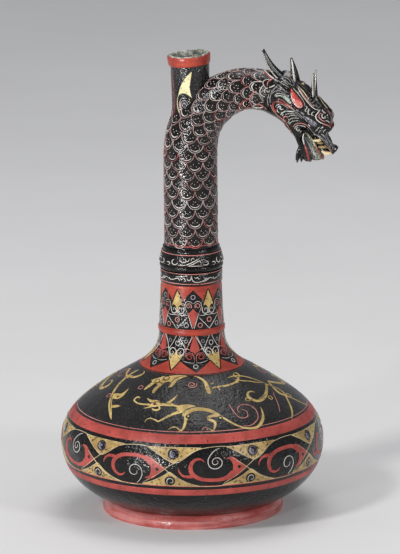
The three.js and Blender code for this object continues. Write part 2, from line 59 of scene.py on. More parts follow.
foot_low, foot_high = box_mm("foot_ring")
AXIS_X = (foot_low.x + foot_high.x) / 2
FOOT_TOP = foot_high.z
FOOT_RADIUS = (foot_high.y - foot_low.y) / 2
FOOT_TOP_RADIUS = FOOT_RADIUS - 2.9
FOOT_WALL = 6.0
EQUATOR = box_mm("shoulder_shell")[0].z
BELLY_RADIUS = box_mm("shoulder_shell")[1].y
SHOULDER_TOP = box_mm("shoulder_shell")[1].z
FLARE_RADIUS = box_mm("neck_flare")[1].y
FILLET_LOW, FILLET_HIGH = (corner.z for corner in box_mm("neck_fillet"))
FILLET_RADIUS = box_mm("neck_fillet")[1].y
SLEEVE_TOP = box_mm("neck_sleeve")[1].z
BEAD_TOP = box_mm("lower_collar")[1].z
COLLAR_TOP = box_mm("upper_collar")[1].z
SCALED_TOP = box_mm("scaled_neck")[1].z
SLEEVE_FOOT_RADIUS, SLEEVE_TOP_RADIUS = 29.2, 27.2
NECK_RADIUS = 23.7
BELLY_WALL, NECK_WALL = 4.0, 3.0
HEAD_SIDE_TURN = math.radians(9)  # how far the head is turned towards the viewer
FRONT = HEAD_SIDE_TURN - math.pi / 2  # the way round the axis that faces the viewer
VIEW_DISTANCE, VIEW_HEIGHT, VIEW_ASIDE = 5833.0, 1617.0, 7.8
VIEWER = (VIEW_ASIDE * math.cos(HEAD_SIDE_TURN) + VIEW_DISTANCE * math.sin(HEAD_SIDE_TURN),
          VIEW_ASIDE * math.sin(HEAD_SIDE_TURN) - VIEW_DISTANCE * math.cos(HEAD_SIDE_TURN),
          VIEW_HEIGHT)
FULL = 2 * math.pi


def facing(degrees):
    """The turn about the axis for an angle counted from the viewer, to the right."""
    return FRONT + math.radians(degrees)


# Curves


def bezier(p0, p1, p2, p3, steps):
    """Points on a cubic curve, with both ends."""
    out = []
    for i in range(steps + 1):
        t = i / steps
        a, b, c, d = (1 - t) ** 3, 3 * t * (1 - t) ** 2, 3 * t * t * (1 - t), t ** 3
        out.append(tuple(a * w + b * x + c * y + d * z for w, x, y, z in zip(p0, p1, p2, p3)))
    return out


def flowing(knots, step=1.2, closed=False):
    """Points about a step apart on a smooth line through the knots."""
    rows = [tuple(float(value) for value in knot) for knot in knots]
    if closed:
        rows = [rows[-1], *rows, rows[0], rows[1]]
    else:
        rows = [rows[0], *rows, rows[-1]]
    out = []
    for a, b, c, d in zip(rows, rows[1:], rows[2:], rows[3:]):
        parts = max(1, round(math.dist(b[:2], c[:2]) / step))
        for i in range(parts):
            t = i / parts
            out.append(tuple(
                0.5 * (2 * q + (r - p) * t + (2 * p - 5 * q + 4 * r - s) * t * t
                       + (3 * q - p - 3 * r + s) * t ** 3)
                for p, q, r, s in zip(a, b, c, d)
            ))
    if not closed:
        out.append(rows[-1])
    return out


def coil(x, y, start, end, from_degrees, turns, width, end_width=None, squash=1.0):
    """A spiral from one radius to another; turns is negative for a clockwise one."""
    count = max(8, round(abs(turns) * 18))
    last = width if end_width is None else end_width
    out = []
    for i in range(count + 1):
        share = i / count
        angle = math.radians(from_degrees + 360 * turns * share)
        reach = start + (end - start) * share
        out.append((x + reach * math.cos(angle), y + reach * squash * math.sin(angle),
                    width + (last - width) * share))
    return out


def marks_along(points):
    """How far along a line each of its points lies."""
    marks = [0.0]
    for here, after in zip(points, points[1:]):
        marks.append(marks[-1] + math.dist(here, after))
    return marks


def span_at(marks, mark):
    """The stretch of a line that a length along it falls in, and the share of it passed there."""
    i = min(max(bisect.bisect_right(marks, mark) - 1, 0), len(marks) - 2)
    return i, (mark - marks[i]) / (marks[i + 1] - marks[i])


def uneven(turn, height):
    """How far a hand-made wall stands off its true circle."""
    return (0.13 * math.sin(3 * turn + 0.05 * height + 1.3)
            + 0.07 * math.sin(7 * turn - 0.11 * height)
            + 0.04 * math.sin(13 * turn + 0.19 * height + 2.0))


class Outline:
    """The outer line of a turned wall, from its foot up, read by the length along it."""

    def __init__(self, points):
        self.points, self.marks = points, marks_along(points)

    def at(self, mark):
        """Radius and height at a length along the line, and which way is out there."""
        i, share = span_at(self.marks, mark)
        (r0, z0), (r1, z1) = self.points[i], self.points[i + 1]
        span = self.marks[i + 1] - self.marks[i]
        return (r0 + (r1 - r0) * share, z0 + (z1 - z0) * share,
                (z1 - z0) / span, (r0 - r1) / span)

    def mark_of(self, height):
        for (_, z0), (_, z1), mark, after in zip(
                self.points, self.points[1:], self.marks, self.marks[1:]):
            if z0 <= height <= z1 and z1 > z0:
                return mark + (after - mark) * (height - z0) / (z1 - z0)
        return self.marks[-1]

    def point(self, mark, angle, lift):
        """A point on the turned wall, or lifted off it."""
        radius, height, out_r, out_z = self.at(mark)
        reach = radius + uneven(angle, height) + out_r * lift
        return (reach * math.cos(angle), reach * math.sin(angle), height + out_z * lift)


def inset(outline, depth):
    """An outline moved inwards by a wall's thickness."""
    out = []
    for i, (radius, height) in enumerate(outline):
        before, after = outline[max(i - 1, 0)], outline[min(i + 1, len(outline) - 1)]
        dr, dz = after[0] - before[0], after[1] - before[1]
        length = math.hypot(dr, dz)
        out.append((radius - dz / length * depth, height + dr / length * depth))
    return out


# The outer lines of the body, the same curves as the frame's


def lower_curve(steps=40):
    pull, slope = 30, math.radians(26)
    start = (FOOT_TOP_RADIUS, FOOT_TOP)
    along = (start[0] + pull * math.cos(slope), start[1] + pull * math.sin(slope))
    return bezier(start, along, (BELLY_RADIUS, EQUATOR - 23.5), (BELLY_RADIUS, EQUATOR), steps)


def upper_curve(steps=48):
    pull, slope = 52, math.radians(31)
    end = (FLARE_RADIUS, SHOULDER_TOP)
    along = (end[0] + pull * math.cos(slope), end[1] - pull * math.sin(slope))
    return bezier((BELLY_RADIUS, EQUATOR), (BELLY_RADIUS, EQUATOR + 29), along, end, steps)


def flare_curve(steps=28):
    return bezier(
        (FLARE_RADIUS, SHOULDER_TOP),
        (FLARE_RADIUS - 9.5, SHOULDER_TOP + 6.8),
        (SLEEVE_FOOT_RADIUS, FILLET_LOW - 16.3),
        (SLEEVE_FOOT_RADIUS, FILLET_LOW),
        steps,
    )


BELLY = Outline(lower_curve() + upper_curve()[1:])
FLARE = Outline(flare_curve())
SLEEVE = Outline([(SLEEVE_FOOT_RADIUS, FILLET_LOW), (SLEEVE_FOOT_RADIUS, FILLET_HIGH),
                  (28.0, (FILLET_HIGH + SLEEVE_TOP) / 2), (SLEEVE_TOP_RADIUS, SLEEVE_TOP)])

# Meshes


def in_frame(x, y, z):
    """A point given in millimetres from the bottle's axis, in the frame's metres."""
    return ((AXIS_X + x) * MM, y * MM, z * MM)


def piece(name, points, faces, slot, *materials, replaced=(), sharp=40):
    """A mesh piece in the frame, riding on the bottle and standing for CAD nodes."""
    mesh = bpy.data.meshes.new(name)
    mesh.from_pydata([in_frame(*p) for p in points], [], faces)
    mesh.validate()
    rounded = bmesh.new()
    rounded.from_mesh(mesh)
    bmesh.ops.recalc_face_normals(rounded, faces=rounded.faces)
    rounded.to_mesh(mesh)
    rounded.free()
    mesh.polygons.foreach_set("use_smooth", [True] * len(mesh.polygons))
    mesh.set_sharp_from_angle(angle=math.radians(sharp))
    for material in materials:
        mesh.materials.append(material)
    obj = bpy.data.objects.new(name, mesh)
    bpy.context.scene.collection.objects.link(obj)
    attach(obj, "root")
    if replaced:
        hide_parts(*replaced)
    return obj


def skin(start, rows, count, closed=False):
    """Faces over rows of equally many points: closed on itself, or with both ends filled."""
    faces = []
    for row in range(rows if closed else rows - 1):
        here, after = start + row * count, start + (row + 1) % rows * count
        for k in range(count):
            nearby = (k + 1) % count
            faces.append((here + k, here + nearby, after + nearby, after + k))
    if not closed:
        last = start + (rows - 1) * count
        faces += [tuple(range(start + count - 1, start - 1, -1)), tuple(range(last, last + count))]
    return faces


def rim_of(faces):
    """The edges that only one face has, in the way that it goes round."""
    edges = {}
    for face in faces:
        for a, b in zip(face, face[1:] + face[:1]):
            edges[(a, b)] = True
    return [(a, b) for a, b in edges if (b, a) not in edges]


def two_sided(start, count, faces, border):
    """A sheet's faces, the same on a second sheet under it, and the rim between them."""
    out = [tuple(start + i for i in face) for face in faces]
    out += [tuple(start + count + i for i in face[::-1]) for face in faces]
    out += [(start + b, start + a, start + count + a, start + count + b) for a, b in border]
    return out


def turned(outline, segments):
    """The points and faces of a closed outline of (radius, height) turned about the axis."""
    points = []
    for radius, height in outline:
        for k in range(segments):
            turn = FULL * k / segments
            reach = radius + (uneven(turn, height) if radius > 1 else 0)
            points.append((reach * math.cos(turn), reach * math.sin(turn), height))
    return points, skin(0, len(outline), segments, closed=True)


def turned_piece(name, outline, slot, material, segments=160, own_node=True):
    points, faces = turned(outline, segments)
    return piece(name, points, faces, slot, material, replaced=[name] if own_node else ())


# Paint, in thin raised layers on a wall: a function of (x, y, lift) that gives a point

LAYER = 0.09
SUNK = 0.22  # how deep the paint's underside lies in the wall
FINEST = 0.12  # the thinnest stroke


def wall_at(outline, turn, mark, reference=None):
    """A sheet on a turned wall, x to the right and y up; x keeps its length, or on one radius."""
    def place(x, y, lift):
        return outline.point(mark + y, turn + x / (reference or outline.at(mark + y)[0]), lift)
    return place


def cone_at(outline, turn, mark, sine):
    """A flat sheet laid on a wall that is nearly a cone, without stretching it."""
    apex = outline.at(mark)[0] / sine

    def place(x, y, lift):
        down = mark + apex - math.hypot(x, apex - y)
        return outline.point(down, turn + math.atan2(x, apex - y) / sine, lift)
    return place


def inside(x, y, loop):
    """True if a point of the sheet lies inside a closed loop."""
    odd = False
    for (x0, y0), (x1, y1) in zip(loop, loop[1:] + loop[:1]):
        if (y0 > y) != (y1 > y) and x < x0 + (x1 - x0) * (y - y0) / (y1 - y0):
            odd = not odd
    return odd


def divided(loop, spacing):
    """Corners and triangles that fill a closed loop, with the rim's edges."""
    rim = []
    for (x0, y0), (x1, y1) in zip(loop, loop[1:] + loop[:1]):
        parts = max(1, round(math.hypot(x1 - x0, y1 - y0) / spacing))
        rim += [(x0 + (x1 - x0) * i / parts, y0 + (y1 - y0) * i / parts) for i in range(parts)]
    xs, ys = [p[0] for p in rim], [p[1] for p in rim]
    corners = list(rim)
    for i in range(int((max(xs) - min(xs)) / spacing) + 1):
        for j in range(int((max(ys) - min(ys)) / spacing) + 1):
            p = (min(xs) + (i + 0.5) * spacing, min(ys) + (j + 0.5) * spacing)
            if inside(*p, rim) and min(math.dist(p, q) for q in rim) > spacing * 0.45:
                corners.append(p)
    edges = [(i, (i + 1) % len(rim)) for i in range(len(rim))]
    flat, _, triangles, _, _, _ = delaunay_2d_cdt([Vector(p) for p in corners], edges, [], 0, 1e-6)
    kept = []
    for face in triangles:
        middle = sum((flat[i] for i in face), Vector((0, 0))) / 3
        if inside(middle.x, middle.y, rim):
            kept.append(tuple(face))
    return [tuple(v) for v in flat], kept, rim_of(kept)


FIELDS = {}


class Paint:
    """Strokes, fields and dots of one colour, gathered into one mesh."""

    narrow = ((-0.5, 0), (-0.34, 1), (0.34, 1), (0.5, 0))
    broad = ((-0.5, 0), (-0.43, 1), (0, 1.2), (0.43, 1), (0.5, 0))

    def __init__(self, slim=1.0):
        self.points, self.faces, self.slim = [], [], slim

    def stroke(self, wall, path, level=0, closed=False):
        """A raised line along a path of (x, y, width)."""
        profile = self.broad if max(p[2] for p in path) > 2 else self.narrow
        count, start = len(path), len(self.points)
        rise = LAYER * (level + 1)
        for i, (x, y, width) in enumerate(path):
            before = path[i - 1] if i or closed else path[i]
            after = path[(i + 1) % count] if i < count - 1 or closed else path[i]
            dx, dy = after[0] - before[0], after[1] - before[1]
            long = math.hypot(dx, dy) or 1
            width = max(width * self.slim, FINEST)
            for side, high in profile:
                self.points.append(wall(x - dy / long * side * width, y + dx / long * side * width,
                                        rise * high if high else -SUNK))
        self.faces += skin(start, count, len(profile), closed)

    def line(self, wall, *knots, level=0, step=1.2):
        self.stroke(wall, flowing(knots, step), level)

    def field(self, wall, loop, level=0, spacing=2.4):
        """A filled shape with a closed rim."""
        key = (tuple(loop), spacing)
        if key not in FIELDS:
            FIELDS[key] = divided([tuple(p) for p in loop], spacing)
        flat, triangles, border = FIELDS[key]
        self.faces += two_sided(len(self.points), len(flat), triangles, border)
        self.points += [wall(x, y, LAYER * (level + 1)) for x, y in flat]
        self.points += [wall(x, y, -SUNK) for x, y in flat]

    def dab(self, wall, x, y, radius, level=0, squash=1.0, corners=10):
        """A round dot, domed a little."""
        start = len(self.points)
        rise = LAYER * (level + 1)
        for share, lift in ((1, -SUNK), (0.86, rise)):
            for k in range(corners):
                angle = FULL * k / corners
                self.points.append(wall(x + share * radius * math.cos(angle),
                                        y + share * radius * squash * math.sin(angle), lift))
        self.points.append(wall(x, y, rise * 1.25))
        top = start + 2 * corners
        for k in range(corners):
            after = (k + 1) % corners
            self.faces.append((start + k, start + after, start + corners + after, start + corners + k))
            self.faces.append((start + corners + k, start + corners + after, top))
        self.faces.append(tuple(range(start + corners - 1, start - 1, -1)))

    def ring(self, wall, x, y, radius, width, level=0, squash=1.0):
        path = coil(x, y, radius, radius, 0, 1, width, squash=squash)[:-1]
        self.stroke(wall, path, level, closed=True)

    def make(self, name, slot, material):
        return piece(name, self.points, self.faces, slot, material, sharp=50)


# Materials

BLACK_SKIN = (0.0028, 0.0025, 0.0025)
BUMP_DEPTH = 0.0006


def lay(tree, kind, inputs, **settings):
    """A node with its settings, and its inputs as values or as other nodes' outputs."""
    node = tree.nodes.new(kind)
    for name, value in settings.items():
        setattr(node, name, value)
    for key, value in inputs.items():
        if isinstance(value, bpy.types.NodeSocket):
            tree.links.new(value, node.inputs[key])
        elif node.inputs[key].type == "RGBA":
            node.inputs[key].default_value = (*value, 1)
        else:
            node.inputs[key].default_value = value
    return node


def mixed(tree, share, first, second):
    """The colour between two colours."""
    return lay(tree, "ShaderNodeMix", {0: share, 6: first, 7: second}, data_type="RGBA").outputs[2]


def spread(tree, value, low, high, to_low=0.0, to_high=1.0):
    """A value drawn out from one range to another, and held there."""
    node = lay(tree, "ShaderNodeMapRange", {
        "Value": value, "From Min": low, "From Max": high, "To Min": to_low, "To Max": to_high,
    })
    return node.outputs["Result"]


def summed(tree, kind, first, second):
    return lay(tree, "ShaderNodeMath", {0: first, 1: second}, operation=kind).outputs[0]


def grain(tree, scale, detail=4.0, roughness=0.55, stretch=None):
    """Noise over the piece, its grain drawn out along an axis if stretch says so."""
    where = lay(tree, "ShaderNodeTexCoord", {}).outputs["Object"]
    if stretch:
        where = lay(tree, "ShaderNodeMapping", {"Vector": where, "Scale": stretch}).outputs["Vector"]
    return lay(tree, "ShaderNodeTexNoise", {
        "Vector": where, "Scale": scale, "Detail": detail, "Roughness": roughness,
    }).outputs["Fac"]


def effect(name, inputs, outputs):
    """A node group with named colour and value sockets."""
    group = bpy.data.node_groups.new(name, "ShaderNodeTree")
    for label, value in inputs.items():
        kind = "NodeSocketColor" if isinstance(value, tuple) else "NodeSocketFloat"
        socket = group.interface.new_socket(name=label, in_out="INPUT", socket_type=kind)
        socket.default_value = (*value, 1) if isinstance(value, tuple) else value
    for label in outputs:
        kind = "NodeSocketColor" if label == "Color" else "NodeSocketFloat"
        group.interface.new_socket(name=label, in_out="OUTPUT", socket_type=kind)
    return group, group.nodes.new("NodeGroupInput").outputs, group.nodes.new("NodeGroupOutput").inputs


def make_old_paint():
    """Paint that has darkened in drifts and rubbed off in small patches."""
    tree, given, out = effect("old_paint", {
        "Paint": (0.5, 0.5, 0.5), "Darkened": (0.2, 0.2, 0.2), "Under": (0.01, 0.01, 0.01),
        "Drift Scale": 60.0, "Wear Scale": 500.0, "Wear": 0.3,
    }, ("Color", "Worn"))
    drift = spread(tree, grain(tree, given["Drift Scale"]), 0.38, 0.66)
    patches = grain(tree, given["Wear Scale"], 5.0, 0.62)
    edge = summed(tree, "SUBTRACT", 0.72, summed(tree, "MULTIPLY", given["Wear"], 0.3))
    worn = spread(tree, summed(tree, "SUBTRACT", patches, edge), 0.0, 0.05)
    color = mixed(tree, worn, mixed(tree, drift, given["Paint"], given["Darkened"]), given["Under"])
    tree.links.new(color, out["Color"])
    tree.links.new(worn, out["Worn"])
    return tree


def make_lacquer_skin():
    """The slightly wavy, pitted skin of brushed lacquer."""
    tree, given, out = effect("lacquer_skin", {
        "Smooth": 0.2, "Dull": 0.4, "Dull Patches": 40.0, "Waves": 150.0, "Ripples": 340.0,
        "Pits": 1400.0, "Rippled": 0.3,
    }, ("Roughness", "Height"))
    patches = spread(tree, grain(tree, given["Dull Patches"], 5.0, 0.6), 0.4, 0.7)
    gloss = lay(tree, "ShaderNodeMapRange", {
        "Value": patches, "To Min": given["Smooth"], "To Max": given["Dull"],
    }).outputs["Result"]
    tree.links.new(gloss, out["Roughness"])
    waves = summed(tree, "MULTIPLY", grain(tree, given["Waves"], 3.0), 1.1)
    ripples = summed(tree, "MULTIPLY", grain(tree, given["Ripples"], 2.0), given["Rippled"])
    pits = summed(tree, "MULTIPLY", spread(tree, grain(tree, given["Pits"], 2.0), 0.3, 0.6), 0.018)
    tree.links.new(summed(tree, "ADD", summed(tree, "ADD", waves, ripples), pits), out["Height"])
    return tree


def make_brush_streaks():
    """Streaks that a brush left as it went round the turned body."""
    tree, given, out = effect("brush_streaks", {
        "Color": (0.5, 0.1, 0.1), "Streak": (0.3, 0.05, 0.04), "Amount": 0.5, "Fineness": 260.0,
    }, ("Color", "Height"))
    lines = grain(tree, given["Fineness"], 3.0, 0.6, stretch=(0.09, 0.09, 1.0))
    shown = summed(tree, "MULTIPLY", spread(tree, lines, 0.42, 0.68), given["Amount"])
    tree.links.new(mixed(tree, shown, given["Color"], given["Streak"]), out["Color"])
    tree.links.new(lines, out["Height"])
    return tree


def make_bloom_and_specks():
    """A grey-blue bloom in drifts, and pale specks of dirt on a dark skin."""
    tree, given, out = effect("bloom_and_specks", {
        "Color": (0.01, 0.01, 0.01), "Bloom": (0.06, 0.07, 0.08), "Speck": (0.3, 0.3, 0.27),
        "Bloom Amount": 0.5, "Speck Amount": 0.5,
    }, ("Color", "Specks"))
    drift = spread(tree, grain(tree, 26.0, 6.0, 0.62), 0.5, 0.74)
    fine = spread(tree, grain(tree, 700.0, 3.0), 0.42, 0.62)
    haze = summed(tree, "MULTIPLY", summed(tree, "MULTIPLY", drift, fine), given["Bloom Amount"])
    dots = spread(tree, grain(tree, 900.0, 2.0, 0.5), 0.665, 0.72)
    dots = summed(tree, "MULTIPLY", dots, spread(tree, grain(tree, 45.0, 3.0), 0.42, 0.6))
    dots = summed(tree, "MULTIPLY", dots, given["Speck Amount"])
    color = mixed(tree, dots, mixed(tree, haze, given["Color"], given["Bloom"]), given["Speck"])
    tree.links.new(color, out["Color"])
    tree.links.new(dots, out["Specks"])
    return tree


OLD_PAINT = make_old_paint()
LACQUER_SKIN = make_lacquer_skin()
BRUSH_STREAKS = make_brush_streaks()
BLOOM_AND_SPECKS = make_bloom_and_specks()


def placed(tree, group, inputs):
    """A node group in a material, with its own values."""
    return lay(tree, "ShaderNodeGroup", inputs, node_tree=group)


def painted(name, paint, darkened, under=BLACK_SKIN, wear=0.3, wear_scale=500.0, drift_scale=60.0,
            smooth=0.22, dull=0.42, bump=0.35, rippled=0.2, streaks=None, bloom=None, specks=0.0,
            shine=0.35):
    """A lacquer or paint: its colour drifts and wears, and its skin is brushed and pitted."""
    material = bpy.data.materials.new(name)
    material.use_nodes = True
    tree = material.node_tree
    shader = tree.nodes["Principled BSDF"]
    coat = placed(tree, OLD_PAINT, {
        "Paint": paint, "Darkened": darkened, "Under": under,
        "Drift Scale": drift_scale, "Wear Scale": wear_scale, "Wear": wear,
    })
    color, height = coat.outputs["Color"], None
    if streaks:
        brushed = placed(tree, BRUSH_STREAKS, {"Color": color, "Streak": streaks, "Amount": 0.55})
        color, height = brushed.outputs["Color"], brushed.outputs["Height"]
    if bloom:
        dusty = placed(tree, BLOOM_AND_SPECKS, {
            "Color": color, "Bloom": bloom, "Bloom Amount": 0.7, "Speck Amount": specks,
        })
        color = dusty.outputs["Color"]
    skin = placed(tree, LACQUER_SKIN, {"Smooth": smooth, "Dull": dull, "Rippled": rippled})
    tree.links.new(color, shader.inputs["Base Color"])
    tree.links.new(skin.outputs["Roughness"], shader.inputs["Roughness"])
    relief = skin.outputs["Height"]
    if height:
        relief = summed(tree, "ADD", relief, summed(tree, "MULTIPLY", height, 0.6))
    bumped = lay(tree, "ShaderNodeBump", {"Height": relief, "Strength": bump, "Distance": BUMP_DEPTH})
    tree.links.new(bumped.outputs["Normal"], shader.inputs["Normal"])
    shader.inputs["Specular IOR Level"].default_value = shine
    return material


BLACK = painted("black_lacquer", BLACK_SKIN, (0.006, 0.005, 0.0045), under=(0.05, 0.03, 0.022),
                wear=0.22, smooth=0.12, dull=0.2, bump=0.95, rippled=1.25,
                bloom=(0.022, 0.025, 0.028), specks=0.45, shine=0.33)
RED = painted("red_lacquer", (0.43, 0.064, 0.038), (0.3, 0.036, 0.022), under=(0.08, 0.016, 0.013),
              wear=0.34, smooth=0.24, dull=0.42, bump=0.5, rippled=0.3,
              streaks=(0.24, 0.027, 0.018), shine=0.3)
FOOT_RED = painted("foot_red_lacquer", (0.42, 0.085, 0.075), (0.28, 0.04, 0.035),
                   under=(0.12, 0.025, 0.02), wear=0.34, smooth=0.2, dull=0.4, bump=0.7, rippled=0.5,
                   streaks=(0.62, 0.3, 0.28), shine=0.4)
RED_STROKE = painted("red_brushwork", (0.42, 0.07, 0.056), (0.27, 0.038, 0.03), wear=0.36,
                     smooth=0.34, dull=0.5, shine=0.35)
WORN_GOLD = painted("worn_gold_paint", (0.5, 0.35, 0.13), (0.27, 0.165, 0.05), under=(0.06, 0.04, 0.015),
                    wear=0.6, wear_scale=420.0, smooth=0.26, dull=0.45, bump=0.6, rippled=0.6, shine=0.5)
GOLD = painted("gold_paint", (0.58, 0.42, 0.15), (0.3, 0.19, 0.055), under=(0.06, 0.04, 0.015),
               wear=0.46, drift_scale=90.0, smooth=0.3, dull=0.5, shine=0.4)
CREAM = painted("cream_lines", (0.68, 0.57, 0.36), (0.42, 0.31, 0.16), under=(0.15, 0.11, 0.07),
                wear=0.4, smooth=0.4, dull=0.6)
WHITE = painted("white_lines", (0.72, 0.68, 0.62), (0.5, 0.46, 0.42), under=(0.12, 0.1, 0.09),
                wear=0.35, smooth=0.4, dull=0.6)
PINK = painted("pink_lines", (0.6, 0.25, 0.22), (0.45, 0.14, 0.12), under=(0.06, 0.03, 0.025),
               wear=0.45, smooth=0.36, dull=0.55)
LILAC = painted("lilac_grey_paint", (0.17, 0.16, 0.22), (0.035, 0.032, 0.045), wear=0.55,
                wear_scale=350.0, drift_scale=130.0)
LILAC_LINE = painted("lilac_lines", (0.42, 0.37, 0.4), (0.24, 0.2, 0.22), wear=0.35)
# The shoulder's lacquer is lighter and greyer than the body's black: partly the lacquer's own bloom, partly
# a painted sheen on the upward-facing shoulder.
SHOULDER_LACQUER_AND_SHEEN = painted("shoulder_lacquer_and_painted_sheen", (0.0075, 0.0066, 0.0062), (0.014, 0.012, 0.011),
                         under=(0.06, 0.042, 0.034), wear=0.34, wear_scale=700.0, smooth=0.2, dull=0.34,
                         bump=0.95, rippled=1.0, bloom=(0.05, 0.048, 0.05), specks=0.5, shine=0.4)
SCALE = painted("scale_lacquer", (0.003, 0.0026, 0.0026), (0.009, 0.0064, 0.0055),
                under=(0.06, 0.035, 0.025), wear=0.3, smooth=0.12, dull=0.2, bump=0.9, rippled=1.2,
                bloom=(0.02, 0.018, 0.017), specks=0.6, shine=0.36)
BLACK_ROUGH = painted("worn_black_lacquer", BLACK_SKIN, (0.014, 0.012, 0.012),
                      under=(0.07, 0.06, 0.055), wear=0.3, smooth=0.12, dull=0.24, bump=0.95,
                      rippled=1.9, bloom=(0.07, 0.08, 0.085), specks=0.9, shine=0.55)
SCALE_PINK = painted("scale_lines_pink", (0.4, 0.26, 0.25), (0.2, 0.11, 0.1),
                     under=(0.05, 0.025, 0.02), wear=0.45, smooth=0.36, dull=0.55)
SCALE_RED = painted("scale_lines_red", (0.4, 0.09, 0.08), (0.2, 0.045, 0.04),
                    under=(0.05, 0.02, 0.015), wear=0.45, smooth=0.36, dull=0.55)
SCALE_PALE = painted("scale_lines_pale", (0.5, 0.44, 0.41), (0.3, 0.24, 0.22),
                     under=(0.05, 0.04, 0.035), wear=0.45, smooth=0.36, dull=0.55)
CLAW = painted("pale_claw_paint", (0.8, 0.75, 0.46), (0.6, 0.53, 0.26), under=(0.14, 0.11, 0.05),
               wear=0.4, smooth=0.3, dull=0.5)
PATINA = painted("patina_of_the_lip", (0.26, 0.28, 0.22), (0.1, 0.11, 0.085),
                 under=(0.55, 0.53, 0.47), wear=0.7, wear_scale=300.0, drift_scale=160.0,
                 smooth=0.5, dull=0.8, bump=0.9)
HEAD = painted("head_lacquer", (0.003, 0.0028, 0.0028), (0.008, 0.007, 0.0065),
               under=(0.09, 0.085, 0.07), wear=0.3, smooth=0.12, dull=0.22, bump=0.8, rippled=1.1,
               bloom=(0.022, 0.022, 0.021), specks=0.6, shine=0.36)
IVORY = painted("tooth_gold", (0.76, 0.64, 0.42), (0.56, 0.42, 0.2), under=(0.1, 0.07, 0.03),
                wear=0.4, smooth=0.3, dull=0.5)
TONGUE = painted("tongue_paint", (0.33, 0.36, 0.29), (0.17, 0.19, 0.15), under=(0.03, 0.03, 0.026),
                 wear=0.75, wear_scale=750.0, drift_scale=160.0, smooth=0.2, dull=0.4)
# The pink patch on the lower part of the eye: a painted highlight.
EYE_HIGHLIGHT_PAINT = painted("eye_painted_highlight", (0.6, 0.2, 0.18), (0.52, 0.12, 0.1), under=(0.5, 0.07, 0.05),
                wear=0.5, wear_scale=300.0, smooth=0.14, dull=0.25)
SAGE = painted("sage_lines", (0.56, 0.6, 0.53), (0.33, 0.37, 0.31), under=(0.05, 0.05, 0.04),
               wear=0.4, smooth=0.36, dull=0.55)
FAINT = painted("faint_lines", (0.4, 0.38, 0.37), (0.16, 0.14, 0.14), under=(0.03, 0.027, 0.025),
                wear=0.45, smooth=0.36, dull=0.55)
GILT = painted("gilt_teeth", (0.4, 0.31, 0.11), (0.2, 0.15, 0.05), under=(0.06, 0.045, 0.02),
               wear=0.45, smooth=0.3, dull=0.5)
EYE = painted("eye_lacquer", (0.52, 0.085, 0.07), (0.42, 0.05, 0.04), wear=0.2, smooth=0.14, dull=0.25)


# The turned body: foot, bowls, flare, fillet, sleeve and collars

ROUND = 192  # corners of the wide pieces
UNDER_RED_BAND = 90.5  # where the shoulder's own lacquer starts, hidden by the band


def make_body():
    turned_piece("foot_ring", [
        (FOOT_RADIUS - FOOT_WALL, 0), (FOOT_RADIUS - 0.5, 0), (FOOT_RADIUS, 0.5), (FOOT_RADIUS, 4),
        (FOOT_RADIUS - 0.4, 7.5), (FOOT_TOP_RADIUS + 0.5, FOOT_TOP - 1.2),
        (FOOT_TOP_RADIUS, FOOT_TOP - 0.4), (FOOT_TOP_RADIUS - 0.5, FOOT_TOP),
        (FOOT_TOP_RADIUS - 5.5, FOOT_TOP),
    ], "red_lacquer", FOOT_RED, ROUND)
    lower = lower_curve()
    turned_piece("lower_bowl", [
        (0.01, FOOT_TOP), (30, FOOT_TOP), (66, FOOT_TOP), *lower,
        (BELLY_RADIUS - BELLY_WALL, EQUATOR), *inset(lower, BELLY_WALL)[-2:0:-1],
        (60, FOOT_TOP + BELLY_WALL), (0.01, FOOT_TOP + BELLY_WALL),
    ], "black_lacquer", BLACK, ROUND)
    upper = upper_curve()
    inner = inset(upper, BELLY_WALL)
    seam = next(i for i, point in enumerate(upper) if point[1] > UNDER_RED_BAND)
    turned_piece("shoulder_shell", [
        *upper[:seam + 1], *inner[seam:0:-1], (BELLY_RADIUS - BELLY_WALL, EQUATOR),
    ], "black_lacquer", BLACK, ROUND)
    # the dome's lighter, greyer black is partly a painted sheen
    turned_piece("shoulder_dome", [
        *upper[seam:], (43, SHOULDER_TOP), *inner[-4:seam - 1:-1],
    ], "black_lacquer", SHOULDER_LACQUER_AND_SHEEN, ROUND, own_node=False)
    turned_piece("neck_flare", [
        *flare_curve(), (SLEEVE_FOOT_RADIUS, FILLET_LOW + 2.3), (24, FILLET_LOW + 2.3),
        (39, SHOULDER_TOP),
    ], "red_lacquer", RED)
    middle = (FILLET_LOW + FILLET_HIGH) / 2
    turned_piece("neck_fillet", [
        (SLEEVE_FOOT_RADIUS, FILLET_LOW), (FILLET_RADIUS - 0.3, FILLET_LOW + 0.2),
        (FILLET_RADIUS, middle - 1.2), (FILLET_RADIUS, middle + 1.2),
        (FILLET_RADIUS - 0.3, FILLET_HIGH - 0.2), (SLEEVE_FOOT_RADIUS, FILLET_HIGH),
        (28.3, FILLET_HIGH), (28.3, FILLET_LOW),
    ], "red_lacquer", RED)
    turned_piece("neck_sleeve", [
        (SLEEVE_FOOT_RADIUS, FILLET_LOW + 2.3), (28, (FILLET_HIGH + SLEEVE_TOP) / 2),
        (SLEEVE_TOP_RADIUS, SLEEVE_TOP), (24, SLEEVE_TOP), (24, FILLET_LOW + 2.3),
    ], "red_lacquer", RED)


